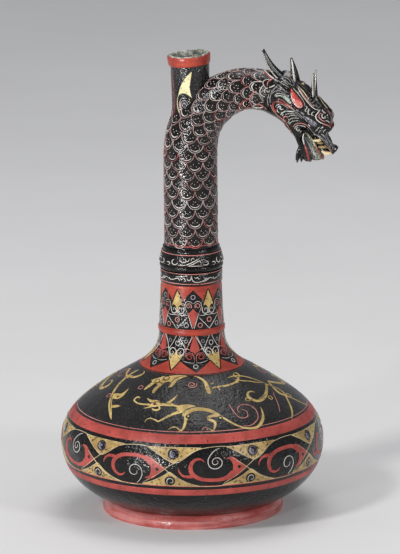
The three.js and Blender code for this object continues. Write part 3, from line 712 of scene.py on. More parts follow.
LOWER_COLLAR = Outline([
    (SLEEVE_TOP_RADIUS - 1, SLEEVE_TOP), (27.4, SLEEVE_TOP), (27.9, SLEEVE_TOP + 0.6),
    (27.9, SLEEVE_TOP + 6), (27.9, SLEEVE_TOP + 11.4), (27.4, SLEEVE_TOP + 12),
    (26.9, SLEEVE_TOP + 12.2), (27.6, SLEEVE_TOP + 13), (28.4, SLEEVE_TOP + 14.2),
    (28.7, SLEEVE_TOP + 15.4), (28.5, SLEEVE_TOP + 16.6), (27.8, BEAD_TOP - 0.7), (27, BEAD_TOP),
])
BAND_TOP = COLLAR_TOP - 3.6
UPPER_COLLAR = Outline([
    (27, BEAD_TOP), (28.6, BEAD_TOP + 0.1), (29.2, BEAD_TOP + 1), (29, BEAD_TOP + 2.2),
    (28.2, BEAD_TOP + 5), (27.2, BAND_TOP - 2), (26.8, BAND_TOP - 0.6), (26.4, BAND_TOP),
    (25.7, BAND_TOP + 0.1), (25.7, COLLAR_TOP - 0.5), (25.3, COLLAR_TOP), (23.9, COLLAR_TOP),
])


def make_collars():
    turned_piece("lower_collar", [*LOWER_COLLAR.points, (23.2, BEAD_TOP), (23.2, SLEEVE_TOP)],
                 "black_lacquer", BLACK)
    turned_piece("upper_collar", [*UPPER_COLLAR.points[1:], (22.5, COLLAR_TOP), (22.5, BEAD_TOP)],
                 "black_lacquer", BLACK)


def band(paint, outline, low, high, waver=0.25, corners=240):
    """A painted band all the way round, with edges drawn by hand."""
    across = max(4, round((high - low) / 1.4))
    start = len(paint.points)
    wall = wall_at(outline, 0, 0, 1)
    for k in range(corners):
        turn = FULL * k / corners
        foot = low + waver * (math.sin(5 * turn + low) + 0.6 * math.sin(13 * turn + 2 * low)) / 2
        head = high + waver * (math.sin(4 * turn + high) + 0.6 * math.sin(11 * turn + high)) / 2
        edge = min(0.3, (head - foot) * 0.15)
        for i in range(across):
            share = i / (across - 1)
            paint.points.append(wall(turn, foot + edge + (head - foot - 2 * edge) * share, LAYER))
        for i in range(across):
            paint.points.append(wall(turn, head + (foot - head) * i / (across - 1), -SUNK))
    paint.faces += skin(start, corners, 2 * across, closed=True)


# The frieze: fields between crossing lines, each with a scroll that ends in a bird's head

FIELDS_ROUND = 10
FRIEZE_MARK = BELLY.mark_of(66)
READ_WIDTH = 1.06


def widened(points):
    return [(p[0] * READ_WIDTH, *p[1:]) for p in points]


def upturned(points):
    return [(p[0], -p[1], *p[2:]) for p in points]


BIRD_HEAD = widened([
    (35.4, -0.6), (32.5, 1.6), (29.5, 4), (27, 7), (24.6, 9), (22, 9.9), (19.3, 9.8), (17, 9),
    (19.6, 8.2), (21.6, 6.2), (22.8, 3.4), (23, 0), (22.2, -3.4), (20, -6.4), (18, -8),
    (18.4, -11), (22, -9.9), (25.5, -8), (29, -5.4), (32.5, -2.7),
])
BIRD_BODY = widened([
    (22.5, -3, 3.6), (21.5, -5.6, 4.6), (18, -8.4, 4.2), (14, -9.9, 3.9), (10, -10.4, 3.6),
    (5, -10.4, 3.6), (0, -10, 3.6), (-4, -9.2, 3.8), (-8, -7.4, 4), (-11.4, -4.6, 4.3),
    (-13, -1, 4.2), (-13.2, 2.4, 3.9), (-12, 5.8, 3.5), (-9.6, 8.3, 2.9), (-6.6, 9.3, 2.3),
    (-3.6, 8.6, 1.6), (-1.2, 6.2, 0.4),
])
BIRD_SPUR = widened([
    (-9.5, -6, 3.4), (-13, -6.6, 3.4), (-16.5, -6.8, 2.8), (-19.6, -5.9, 2.3), (-22, -3.6, 1.8),
    (-23.3, -1.2, 1.1), (-23.4, 0.8, 0.3),
])
FIELD_SPIRAL = widened([
    (12.3, 18.5, 0.5), (8, 16.6, 1), (4.6, 13.4, 1), (2, 9.4, 1), (1.7, 5, 1), (3.4, 1.6, 1),
    (7, 0.1, 1), (10.8, 0.9, 1), (13.2, 3.4, 1), (13.5, 6.6, 0.9), (11.6, 9.2, 0.9),
    (8.6, 9.9, 0.9), (5.9, 8.4, 0.8), (5.2, 5.6, 0.8), (6.8, 3.9, 0.8), (9.2, 4.4, 0.7),
    (10.2, 6.2, 0.6), (8.9, 7.6, 0.4),
])
FIELD_HOOK = widened([
    (9.6, -15, 0.4), (12.8, -11.5, 0.9), (14.8, -7, 0.9), (14.6, -2.6, 0.9), (12.4, 0.9, 0.9),
    (8.4, 2.1, 0.9), (4.8, 0.4, 0.9), (3.2, -3.6, 0.8), (5, -6.8, 0.8), (8.2, -7.3, 0.7),
    (10.4, -5.4, 0.6), (10.3, -3.3, 0.3),
])
TOP_CORNER = widened([
    (7.5, 5.3), (11, 6.4), (15, 8.6), (19, 11.6), (23, 14.6), (27, 16.9), (32, 18.9), (26, 19.5),
    (17, 19.7), (7, 19.7), (-3, 19.6), (-11, 19.5), (-16.5, 19.2), (-10.5, 16.2), (-4.5, 12.4),
    (0.5, 9), (4.2, 6.8),
])
LOW_CORNER = widened([
    (4.5, -2.6), (1.6, -4.2), (-2.4, -6.9), (-7, -9.6), (-12.4, -12.2), (-17, -13.9), (-21, -15.2),
    (-14, -15.6), (-4, -15.7), (6, -15.8), (16, -15.9), (24, -16), (30, -16.2), (24.4, -14.4),
    (18, -11.8), (12.6, -8.8), (8, -5.3),
])
CROSSING_LINES = [widened(path) for path in (
    [(28.5, 17.8, 0.3), (23, 15, 0.7), (18, 12.3, 0.8), (13.4, 9.4, 0.8), (9.3, 6.9, 0.8),
     (4.6, 3.4, 0.8), (0, 0, 0.8), (-4, -3.4, 0.8), (-8.4, -6.6, 0.8), (-13.6, -10, 0.8),
     (-19.5, -13.6, 0.4)],
    [(-13, 9.6, 0.3), (-8.4, 6.4, 0.8), (-4, 3.1, 0.8), (0, 0, 0.8), (3.4, -3, 0.8),
     (7.4, -6.4, 0.8), (12, -9.7, 0.8), (17.6, -12.8, 0.8), (24.4, -15.4, 0.4)],
    [(-16, 19, 0.3), (-10, 15.6, 0.8), (-4, 11.9, 0.8), (0.4, 9, 0.8), (4.6, 7.3, 0.6),
     (8.6, 6.9, 0.3)],
    [(28.5, 17.8, 0.4), (36, 19.3, 0.8), (44, 20, 0.8), (52, 19.8, 0.8), (58.5, 18.9, 0.3)],
    [(24.4, -15.4, 0.4), (34, -16.4, 0.7), (44, -16.6, 0.7), (54, -15.6, 0.4)],
)]
LOW_HOOK = [(2.5, -14.4, 0.3), (1.6, -12, 0.8), (2.4, -9.6, 0.9), (4.6, -8.5, 0.9), (6.8, -9.5, 0.8),
            (7.3, -11.6, 0.7), (5.8, -13, 0.6), (4.4, -12, 0.3)]


EYE_X, EYE_Y = 30.2, 0.6
TOP_DISC, LOW_DISC = (7.4, 13.6), (4.4, -10.9)


def make_frieze():
    red, gold, cream = Paint(), Paint(), Paint(0.72)
    white, discs, lilac = Paint(0.8), Paint(), Paint()
    for k in range(FIELDS_ROUND):
        turn = 360 / FIELDS_ROUND * k
        wall = wall_at(BELLY, facing(turn + 6), FRIEZE_MARK, BELLY_RADIUS)
        crossing = wall_at(BELLY, facing(turn - 12), FRIEZE_MARK, BELLY_RADIUS)
        over = k % 2
        turn_over = upturned if over else list
        red.line(wall, *turn_over(BIRD_BODY), level=1, step=1.4)
        red.line(wall, *turn_over(BIRD_SPUR), step=1.4)
        red.field(wall, flowing(turn_over(BIRD_HEAD), 1.6, closed=True), 2)
        eye = -EYE_Y if over else EYE_Y
        discs.dab(wall, EYE_X, eye, 1.9, 3, squash=0.9)
        # the lilac arc round the bird's eye is a painted highlight
        lilac.stroke(wall, coil(EYE_X, eye, 1.5, 1.2, 200, 0.55, 0.5), 4)
        white.line(wall, *(FIELD_HOOK if over else FIELD_SPIRAL), level=1)
        for loop in (TOP_CORNER, LOW_CORNER):
            rim = flowing(loop, 2.2, closed=True)
            gold.field(crossing, rim, 0, 3)
            cream.stroke(crossing, [(x, y, 0.55) for x, y in rim], 1, closed=True)
        for path in CROSSING_LINES:
            cream.line(crossing, *path, level=2, step=2)
        discs.dab(crossing, *TOP_DISC, 5.9, 1, squash=0.92, corners=22)
        discs.dab(crossing, *LOW_DISC, 5.4, 1, squash=0.9, corners=22)
        lilac.ring(crossing, *TOP_DISC, 3.9, 0.9, 2, squash=0.92)
        lilac.dab(crossing, 7.2, 13.4, 2.3, 2, squash=0.9, corners=14)
        white.stroke(crossing, coil(*TOP_DISC, 2.9, 2.9, 120, 0.45, 0.6, squash=0.9), 3)
        white.line(crossing, *LOW_HOOK, level=2, step=0.8)
    for low, high in ((-26.8, -19.8), (-17, -15.6)):
        band(red, BELLY, FRIEZE_MARK + low, FRIEZE_MARK + high)
    band(red, BELLY, BELLY.mark_of(87.5), 104)
    red.make("frieze_red", "red_lacquer", RED_STROKE)
    for paint, name, material in (
        (gold, "gold", WORN_GOLD), (cream, "gold_edges", CREAM), (white, "white_lines", WHITE),
        (discs, "dark_discs", BLACK), (lilac, "lilac", LILAC),
    ):
        paint.make("frieze_" + name, "black_lacquer", material)


# The shoulder: a running beast with a curled snout, and leaf-like creatures between its repeats

SHOULDER_MARK, SHOULDER_SINE = 106.0, 0.833
BEAST = [
    # snout and jaws
    [(-47, 47.5, 1.6), (-49, 49.5, 2), (-51.5, 48, 1.8), (-52.2, 46, 1.6), (-51, 43.6, 1.7),
     (-49, 41.4, 1.6), (-46.6, 39.6, 1.6), (-43, 37.8, 1.9), (-39, 36.5, 2.4), (-35, 35.3, 3.4)],
    [(-40, 44.8, 0.4), (-38.4, 42.2, 1.9), (-36, 40, 3), (-32.5, 39, 3.6), (-29, 36.6, 4)],
    [(-43.4, 33, 0.4), (-39.6, 32.9, 1.6), (-36, 33.6, 2.6), (-32, 34.8, 3.4)],
    [(-35.6, 30.6, 0.8), (-33.8, 28.6, 2), (-31, 27.7, 2), (-28.7, 29, 1.9), (-28.8, 31.2, 1.6),
     (-30, 32.8, 1.2)],
    # neck and ear
    [(-30, 35, 4), (-25, 33.6, 3.6), (-20, 32.2, 3.1), (-16, 31.2, 2.2), (-12, 29.4, 2.4)],
    [(-23, 33.6, 2.4), (-20.6, 35.2, 2.8), (-17.6, 37.8, 2.4), (-15, 40.6, 1.6), (-12.5, 44.2, 0.3)],
    [(-20, 33.5, 1.6), (-17.6, 33.6, 1.4), (-15.4, 31, 0.6)],
    # front leg
    [(-8.4, 24, 4.4), (-12, 22.8, 3.8), (-16, 21.4, 3), (-20, 19.4, 2.5), (-24, 17.2, 2.1),
     (-28, 15, 1.8), (-30.4, 14.4, 1.6), (-33, 16.8, 1.3), (-36, 18.8, 1), (-39.4, 19.2, 0.8),
     (-41.6, 17.4, 0.6), (-42.2, 16, 0.3)],
    # back, haunch and long tail
    [(-7, 17.6, 3.6), (-6, 20, 5.6), (-4, 22.6, 5.6), (0, 25, 5), (6, 26, 4.5), (12, 25.6, 4.3),
     (17, 24, 4), (22, 21.2, 3), (27, 17.8, 2.3), (32, 15, 2), (38, 12, 1.9), (45, 10.4, 1.8),
     (51, 10.8, 2), (57, 13, 2.4), (61.4, 17.4, 3), (64, 24, 3.1), (64.6, 30, 2.7),
     (63.6, 36, 1.7), (62, 40.5, 0.4)],
    # hind legs
    [(-5, 19.4, 4.8), (-5.2, 16, 3.8), (-5.8, 12, 3), (-6.6, 8, 2.6), (-7.6, 5, 2.3),
     (-8.8, 2.8, 2), (-10.6, 2, 1.8), (-12.4, 4.2, 1.5), (-15, 6, 1.2), (-18, 6, 1),
     (-21, 4.2, 0.3)],
    [(24, 20, 2.6), (21, 19.3, 3.3), (17.6, 18.6, 3.4), (14.6, 16.8, 3), (14.8, 14.4, 2.9),
     (18, 13.2, 3), (20.2, 11.4, 2.8), (20.4, 8, 2.2), (19.6, 4.4, 1.7), (18.5, 1.8, 1.3),
     (16.6, 3.2, 0.9), (14.6, 4, 0.7), (13, 3, 0.3)],
]
BEAST_TRUNK = [(-13.5, 25.6), (-13.2, 28.4), (-11.4, 30.6), (-7.6, 31.3), (-3.4, 31.2), (0.6, 30.4),
               (3.6, 28.8), (1, 27.6), (-2.4, 26.6), (-4.6, 24.6), (-5.6, 22), (-8, 21.2),
               (-10.8, 22.6)]
UPPER_FORMS = [
    [(-43, 57.2, 1.6), (-41, 59, 2.8), (-38, 61.2, 3.2), (-34.6, 64.2, 3.6), (-31.4, 67.6, 3)],
    [(-34.4, 50, 2.2), (-33.6, 53.4, 3.7), (-31.6, 56.4, 3.6), (-29, 58.4, 3.3), (-26.4, 61.6, 4)],
    [(-21, 54.8, 0.6), (-18.6, 55.8, 2.8), (-17, 58.4, 3.6), (-15.4, 61, 3.4), (-13, 63.4, 3.2),
     (-9, 65.6, 2), (-4, 66.6, 0.4)],
    [(2, 66.5, 0.4), (5, 65.6, 1.3), (8, 63.8, 2), (10.4, 61.4, 2.8), (12.4, 58, 3.6),
     (13.4, 54, 4.1), (14.4, 50.6, 4.8), (15.2, 47.6, 5), (15.6, 45.4, 3.4)],
    [(16.4, 58, 0.5), (17.8, 57.8, 1), (18.9, 58.8, 0.9), (18.4, 60.4, 0.3)],
    [(21.6, 55.4, 0.4), (23, 54.4, 1.2), (24.6, 52.4, 1.2), (24.7, 50.3, 0.3)],
    [(17.6, 52.2, 1), (19.6, 53.6, 1.9), (22, 54.9, 1.9), (25, 56.1, 1.8), (31, 59, 1.6),
     (37, 63, 1.4), (43, 67, 0.5)],
]
UPPER_MASS = [(-36.6, 68), (-33.6, 63.6), (-31, 60.2), (-27, 59.6), (-23.2, 61.4), (-20, 61.6),
              (-18, 58.6), (-16.2, 58), (-14, 61), (-11.6, 63.6), (-9, 65), (-4.6, 66.8), (-10, 68.2),
              (-20, 68.8), (-29, 68.9)]
SPIRAL_PAIR = [
    [(46, 12.5, 0.5), (49, 12.8, 1), (52, 14, 1.1), (55, 16.6, 1.1), (57.4, 20, 1.1),
     (59.4, 24, 1.1), (59.6, 28.4, 1.1), (58.4, 33, 1.1), (56, 36.4, 1.1), (52.6, 38.2, 1.1),
     (48.6, 38.4, 1.1), (44.6, 37, 1), (41.8, 34.2, 1), (40.4, 30.6, 0.9), (41.4, 26.6, 0.7)],
    [(33, 34.4, 0.5), (34.4, 31.4, 0.9), (36.2, 28, 1), (38.4, 24.6, 1), (41.2, 21.6, 1),
     (44.4, 20.6, 1), (47.6, 21.8, 1), (49.6, 24.2, 1), (50, 27.2, 1), (49, 29.8, 0.9),
     (46.6, 31.2, 0.8), (44.2, 30.8, 0.6)],
]
LEAF_CREATURE = [
    [(-20, 53.2, 0.5), (-16, 53, 1.6), (-12, 53, 1.9), (-8, 53.2, 2.1), (-4, 54, 2.3),
     (-0.6, 55.3, 2.5), (1.8, 57.4, 2.2), (2.6, 59.4, 1.2)],
    [(27.4, 45.6, 1), (27.2, 43.4, 2.2), (25, 41, 2.7), (22.4, 38.2, 2.9), (20, 36, 3.1),
     (17, 33.4, 3.5), (13.6, 31, 3.8), (10.4, 29.2, 4.2), (7, 28, 4.5), (3.8, 27.1, 4.3),
     (0.4, 27.2, 4), (-2.8, 29, 3.8), (-4.8, 31.6, 3.6), (-5.2, 34.4, 3), (-4, 37, 2.3),
     (-1.4, 38.8, 1.8), (1.6, 39.2, 1.5), (4, 38.2, 1.2), (5.2, 36.8, 0.4)],
    [(28, 45.4, 0.8), (31, 44, 1.9), (34.4, 41.8, 2.3), (37.6, 39.6, 2.8), (40.4, 36.6, 3.6),
     (41.8, 33, 4.1), (41.2, 30, 3.4), (39.8, 26.8, 2.6), (38, 22.6, 2.4), (36, 17.6, 2.4),
     (33.6, 12.6, 2.3), (31, 8.2, 2), (28.4, 5, 1.8), (26, 2.6, 1.4), (24, 1, 0.4)],
]
LEAF_LINES = [
    [(-8, 61, 0.5), (-4, 61.2, 1.5), (0, 61.2, 1.6), (5, 60.2, 1.6), (10, 58.2, 1.6),
     (14.6, 56, 1.6), (18.6, 53.2, 1.6), (22, 50.8, 1.5), (25.4, 48.4, 1.3), (28, 46, 0.5)],
    [(-2.4, 57.2, 0.4), (0.6, 55.2, 1.4), (4, 53.4, 1.6), (8, 52.2, 1.6), (12, 51, 1.6),
     (16, 49.4, 1.6), (20, 48.2, 1.5), (25.4, 47.4, 0.5)],
]
LEFT_CREATURE = [
    [(-1.6, 4.6, 0.4), (-4, 7, 2), (-7.6, 10.8, 3), (-11, 14.6, 3.6), (-14.2, 18.4, 4),
     (-17, 21.6, 3.9), (-19.4, 25, 3.6), (-21.8, 29.4, 3.1), (-24, 33.4, 3.1), (-26.2, 38, 3.2),
     (-27.6, 43, 3.1), (-28.2, 49, 3), (-27.7, 55, 3), (-26.6, 59.4, 2.7), (-24.6, 63, 2.4),
     (-22.4, 65.6, 1.9), (-20, 67.2, 0.6)],
    [(-26.4, 57.4, 2), (-23.6, 58, 2.9), (-20.6, 57.2, 3), (-17.6, 56.9, 3), (-14.4, 58, 2.7),
     (-11.8, 60, 2.4), (-9.9, 62.4, 1.9), (-9.7, 64.6, 1.4), (-11.6, 66.2, 0.4)],
    [(-13, 18.2, 3.2), (-9.4, 19, 3.6), (-6, 19.9, 3), (-2.4, 20.8, 0.5)],
]
CLAW_MASS = [(-23.4, 31.4), (-20, 34), (-16, 34.2), (-13.4, 34.6), (-11.8, 36.6), (-10.7, 40),
             (-9.9, 42.4), (-9.4, 39), (-9, 34.6), (-9.2, 31.6), (-11.4, 28.6), (-14, 27.4),
             (-17, 27.6), (-20, 28)]
DARK_DETAILS = [
    [(-9.4, 20.6, 0.3), (-7, 23, 0.9), (-3.4, 26, 1), (1.4, 27.9, 1), (7, 28.6, 0.9), (13.4, 27.8, 0.4)],
    [(-38, 36.4, 0.3), (-34.6, 37.4, 0.8), (-29.6, 37.4, 0.9), (-24, 35, 0.8), (-18.4, 32.6, 0.3)],
    [(-33.4, 60.6, 0.4), (-31, 62.6, 1), (-28, 62.2, 1), (-26.6, 59.4, 0.4)],
    [(-18.4, 59.8, 0.3), (-15.8, 63.2, 1), (-12.6, 65.6, 1), (-7.4, 67, 0.4)],
    [(-25.4, 68.6, 0.4), (-25.8, 65.4, 0.9), (-23.4, 63.4, 0.4)],
]


def make_shoulder():
    gold, gold_highlights, pink, dark = Paint(), Paint(), Paint(), Paint()

    def gilded(wall, path, level):
        """A gold form; a broad one gets a pale rim along its upper edge, which is a painted highlight."""
        gold.line(wall, *path, level=level, step=1.3)
        if max(p[2] for p in path) > 2.6:
            # the pale rim along the gold's upper edge is a painted highlight
            rim = [(x, y + w * 0.36, 0.3) for x, y, w in flowing(path, 1.6)[2:-2]]
            gold_highlights.stroke(wall, rim, level + 1)

    for half in (0, 180):
        front, right, left, behind = (
            cone_at(BELLY, facing(half + degrees), SHOULDER_MARK, SHOULDER_SINE)
            for degrees in (0, 45, -45, 97))
        for i, path in enumerate(BEAST + UPPER_FORMS):
            gilded(front, path, i % 2)
        for loop in (BEAST_TRUNK, UPPER_MASS):
            gold.field(front, flowing(loop, 1.5, closed=True), 2)
        gold.dab(front, -32.6, 35.8, 4.8, 2, squash=0.8, corners=18)
        dark.dab(front, -33, 35.4, 1.6, 3)
        pink.ring(front, -33, 35.4, 1.8, 0.35, 3)
        dark.dab(front, -30.2, 30.2, 0.8, 3)
        for x, y in ((-3.5, 17.3), (25, 17)):
            dark.dab(front, x, y, 2.6, 3)
            gold.dab(front, x, y, 1.2, 4)
        for x, y in ((-31, 65), (-22.4, 66.4)):
            dark.ring(front, x, y, 2.4, 0.8, 4)
        for path in DARK_DETAILS:
            dark.line(front, *path, level=4)
        for path in SPIRAL_PAIR:
            pink.line(front, *path)
        pink.line(front, (8.5, 2, 0.5), (9.2, 3.8, 0.7), (10.6, 5.2, 0.7), (12.6, 5.4, 0.7),
                  (13.6, 3.8, 0.7), (12.7, 2.6, 0.5))
        pink.stroke(front, coil(0, 56, 1, 4.3, 200, 1.5, 0.9))
        gold.ring(front, -26, 67, 2.4, 0.8, 3)
        pink.ring(front, -46.6, 62, 2.2, 0.8)
        for i, path in enumerate(LEAF_CREATURE):
            gilded(right, path, i % 2)
            gilded(behind, [(-x * 0.9, y, w) for x, y, w in path], i % 2)
        for path in LEAF_LINES:
            gold.line(right, *path)
        for x, y, radius in ((3, 61.4, 3), (-8.4, 31.4, 2), (17.6, 27.6, 2.2), (46, 29, 2.8)):
            gold.ring(right, x, y, radius, 1, 2)
        dark.line(right, (15, 32.6, 0.3), (10.6, 30.4, 0.8), (5, 28.4, 0.8), (0, 28.6, 0.8),
                  (-3.4, 31.4, 0.3), level=3)
        dark.line(right, (31, 43.4, 0.3), (36, 40, 0.8), (39.6, 36, 0.8), (40.2, 31, 0.3), level=3)
        pink.line(right, (15, 10, 0.5), (18, 14.6, 0.9), (20.6, 19.4, 0.9), (22.8, 24.6, 0.9),
                  (25, 30, 0.9), (28, 35, 0.4))
        for i, path in enumerate(LEFT_CREATURE):
            gilded(left, path, i % 2)
        gold.field(left, flowing(CLAW_MASS, 1.4, closed=True), 2)
        dark.line(left, (-10.4, 14.6, 0.3), (-16, 21.4, 0.8), (-20.6, 28.6, 0.8), (-24.6, 36.6, 0.3),
                  level=3)
        dark.dab(left, -14.2, 30.4, 1.4, 3)
        pink.ring(left, -27.4, 31, 2.3, 0.8)
        pink.line(behind, (10, 50, 0.5), (4, 56, 1), (-4, 58, 1), (-9, 54, 1), (-8, 48, 1),
                  (-2, 46, 0.9), (1, 50, 0.5))
    band(pink, BELLY, 105.9, 106.7, 0.15)
    # the pale rims on the gold's upper edges are painted highlights
    for paint, name, material in ((gold, "gold", GOLD), (gold_highlights, "gold_painted_highlights", CREAM),
                                  (pink, "pink_lines", PINK), (dark, "pupils", BLACK)):
        paint.make("shoulder_" + name, "black_lacquer", material)


make_body()
make_collars()
make_frieze()
make_shoulder()


# The flare and the sleeve: dark lozenges with a red kite, and gold teeth with volutes between them

REPEATS = 6


def both_ways(paths):
    """Paths and their mirror images."""
    return [side for path in paths for side in (path, [(-p[0], *p[1:]) for p in path])]


def mirrored(half):
    """A path from its right half, which starts at the middle."""
    return [(-p[0], *p[1:]) for p in half[:0:-1]] + half


def mirrored_loop(half):
    """A loop from its right half, read from the foot up."""
    return half + [(-x, y) for x, y in half[::-1] if abs(x) > 0.05]


FLARE_LOZENGE = mirrored_loop([(0, 3), (5, 7.2), (10, 11.4), (14.2, 15.2), (13.6, 17.6)])
FLARE_SIDE = [(14.2, 15.4, 0.7), (12.4, 18, 0.8), (10.6, 21, 0.9), (8.3, 25, 0.9), (5.7, 30, 0.9),
              (3.1, 34.6, 0.9), (1, 38.3, 0.7)]
FLARE_KITE = mirrored_loop([(0, 21.4), (1.2, 23.4), (2.8, 24.2), (4.6, 24.8), (4, 28), (2.6, 32.4),
                            (0.9, 37.6)])
FLARE_TOOTH = mirrored_loop([(0, 5.8), (2.4, 10.4), (4.9, 16), (6.9, 21.4), (5.6, 21), (3.4, 20.3),
                             (1.6, 21.2), (0.9, 23), (0.3, 25.2)])
FLARE_TOOTH_EDGE = mirrored([(0, 4.7, 1.2), (2.7, 10, 1.7), (5.2, 15.6, 1.7), (7.2, 21.4, 1.5),
                             (8, 24, 0.6)])
FLARE_VOLUTE = [(0.3, 22.4, 0.3), (0.7, 24.6, 0.8), (2.2, 26.6, 1), (4.8, 27, 1.1), (6.7, 25.2, 1.1),
                (6.7, 22.6, 1), (5, 20.9, 0.9), (3.2, 21.6, 0.8), (2.9, 23.4, 0.7), (4.2, 24, 0.4)]
SLEEVE_LOZENGE = mirrored_loop([(8, 30.4), (8.4, 33), (4.6, 37.2), (0.2, 41.6)])
SLEEVE_SIDE = [(5, 20.6, 0.5), (3.9, 17, 0.8), (2.8, 13.4, 0.8), (1.7, 9.6, 0.8), (0.7, 6.6, 0.5)]
SLEEVE_KITE = mirrored_loop([(0, 7), (1.7, 12), (3.2, 16.6), (4.5, 20.4), (2.4, 22), (0.2, 24.6)])
SLEEVE_TOOTH = mirrored_loop([(0.2, 21.6), (0.8, 24.8), (1.8, 27), (3.2, 28.2), (5, 27.6),
                              (5.8, 26), (4.6, 29.6), (2.6, 34.6), (0.2, 40.7)])
SLEEVE_TOOTH_EDGE = mirrored([(0, 42, 1.2), (2.9, 35.6, 1.7), (5, 30.2, 1.7), (6.6, 25.4, 0.8)])
SLEEVE_VOLUTE = [(5.9, 26.2, 0.4), (6.5, 23.8, 0.9), (5.7, 21.2, 1), (3.7, 20, 1.1), (1.6, 20.7, 1),
                 (0.9, 22.8, 0.9), (2.2, 24.8, 0.9), (4, 24.6, 0.8), (4, 22.9, 0.5)]


def make_flare(black, red, gold, white, pink, lilac):
    band(black, FLARE, 16.6, 38.5, 0.1)
    band(black, FLARE, 0.1, 1.5, 0.2)
    for k in range(REPEATS):
        lozenge = wall_at(FLARE, facing(5 + 60 * k), 0)
        tooth = wall_at(FLARE, facing(35 + 60 * k), 0)
        black.field(lozenge, FLARE_LOZENGE, 0, 3)
        red.field(lozenge, FLARE_KITE, 1, 3)
        for side, paint in ((-1, pink), (1, white)):
            paint.line(lozenge, *[(x * side, y, w) for x, y, w in FLARE_SIDE], level=1, step=2)
            red.stroke(lozenge, coil(side * 5, 19.2, 1.2, 3.3, 90 - 20 * side, side * 1.25, 0.7, 1.2), 1)
            pink.stroke(lozenge, coil(side * 5, 19.2, 4.1, 4.2, 90 - 100 * side, side * 0.6, 0.4), 1)
            pink.line(lozenge, (side * 0.9, 14.6, 0.3), (side * 0.9, 18, 0.6), (side * 1.3, 21, 0.6),
                      (side * 2.6, 23.4, 0.3), level=1)
            white.line(lozenge, (side * 0.6, 13.6, 0.3), (side * 4, 13.4, 0.6), (side * 8.4, 14.4, 0.6),
                       (side * 11.6, 15.6, 0.3), level=1)
            lilac.ring(tooth, side * 7.8, 33.6, 1.4, 0.7, 1)
        white.ring(lozenge, 0, 9.6, 2, 0.85, 1)
        black.line(tooth, *FLARE_TOOTH_EDGE, level=1, step=1.6)
        gold.field(tooth, FLARE_TOOTH, 2, 3)
        for path in both_ways([
            FLARE_VOLUTE,
            [(8.2, 26, 0.4), (6.4, 29, 0.8), (4.2, 32.6, 0.8), (1.4, 38.2, 0.6)],
            [(6.4, 25.8, 0.4), (9.2, 26.8, 0.8), (11.6, 26, 0.4)],
            [(9.6, 30.6, 0.3), (11, 33, 0.6), (12.4, 36.4, 0.6), (13, 38.2, 0.3)],
        ]):
            white.line(tooth, *path, level=2)
        white.ring(tooth, 0.2, 31.6, 2.1, 0.8, 1)


def make_sleeve(black, red, gold, white, pink, lilac):
    band(black, SLEEVE, 5.5, 31.5, 0.1)
    for k in range(REPEATS):
        lozenge = wall_at(SLEEVE, facing(3 + 60 * k), 0)
        tooth = wall_at(SLEEVE, facing(33 + 60 * k), 0)
        black.field(lozenge, SLEEVE_LOZENGE, 0, 3)
        red.field(lozenge, SLEEVE_KITE, 1, 3)
        for side in (-1, 1):
            white.line(lozenge, *[(x * side, y, w) for x, y, w in SLEEVE_SIDE], level=1, step=2)
            pink.stroke(lozenge, coil(side * 4.1, 27.3, 1, 2.7, 90 + 60 * side, side * 1.2, 0.6, 1), 1)
            white.line(lozenge, (side * 0.5, 29.4, 0.3), (side * 2.2, 31, 0.6), (side * 4.8, 31.6, 0.6),
                       (side * 7, 29.8, 0.6), (side * 7.4, 26.4, 0.6), (side * 6.4, 23.4, 0.5),
                       (side * 5.4, 21.2, 0.3), level=1)
        lilac.ring(lozenge, 0, 35.2, 1.9, 0.8, 1)
        black.line(tooth, *SLEEVE_TOOTH_EDGE, level=1, step=1.6)
        gold.field(tooth, SLEEVE_TOOTH, 2, 3)
        for path in both_ways([
            SLEEVE_VOLUTE,
            [(0.2, 18.4, 0.4), (2.4, 19, 0.8), (5.6, 18.4, 0.8), (9.6, 18.8, 0.5)],
            [(9.6, 16.8, 0.5), (6.6, 13.4, 0.8), (3.2, 9.8, 0.8), (0.2, 6.2, 0.6)],
            [(0.2, 20, 0.5), (0.5, 21.6, 0.7), (0.4, 23, 0.4)],
        ]):
            white.line(tooth, *path, level=2)
        pink.ring(tooth, 0.2, 14.3, 2.1, 1.2, 1)
        lilac.ring(tooth, 8.8, 9.6, 2, 1, 1)
        pink.ring(tooth, -8.8, 9.6, 2, 1.1, 1)


# The collars: brushed scrolls between thin lines

LOW_SCROLLS = [
    [(-24, 7.4, 0.5), (-22.6, 8.8, 1), (-22, 7, 1), (-18, 7.4, 1), (-14, 9.2, 1), (-12, 8.8, 1),
     (-11.2, 6.4, 0.5)],
    [(-15.4, 10.8, 0.4), (-11, 11, 0.8), (-7.4, 11.6, 0.8), (-3.6, 12.2, 0.4)],
    [(-8.4, 9.8, 0.4), (-6.2, 9, 0.8), (-5.8, 7, 0.8), (-7, 5.6, 0.4)],
    [(-4, 9.4, 0.4), (-3.2, 7.6, 1.3), (-1.4, 7.4, 1.3), (-0.2, 9.4, 1.1), (0, 12, 0.5)],
    [(0.4, 12, 0.4), (0.8, 8.4, 1), (2.6, 5.8, 1), (6, 5, 0.9), (10.4, 5.8, 0.9), (14, 7.8, 0.9),
     (17, 9, 0.5)],
    [(3, 10.8, 0.4), (4.4, 9.6, 1), (6, 10.6, 0.9), (6.8, 8.8, 0.9), (8.4, 8.8, 0.3)],
    [(11, 5, 0.4), (15, 6.8, 0.9), (18.4, 8.8, 0.9), (20.2, 8.8, 0.8), (21.6, 7.2, 0.4)],
    [(12, 10, 0.4), (13.4, 8.6, 0.9), (15, 9.4, 0.4)],
]
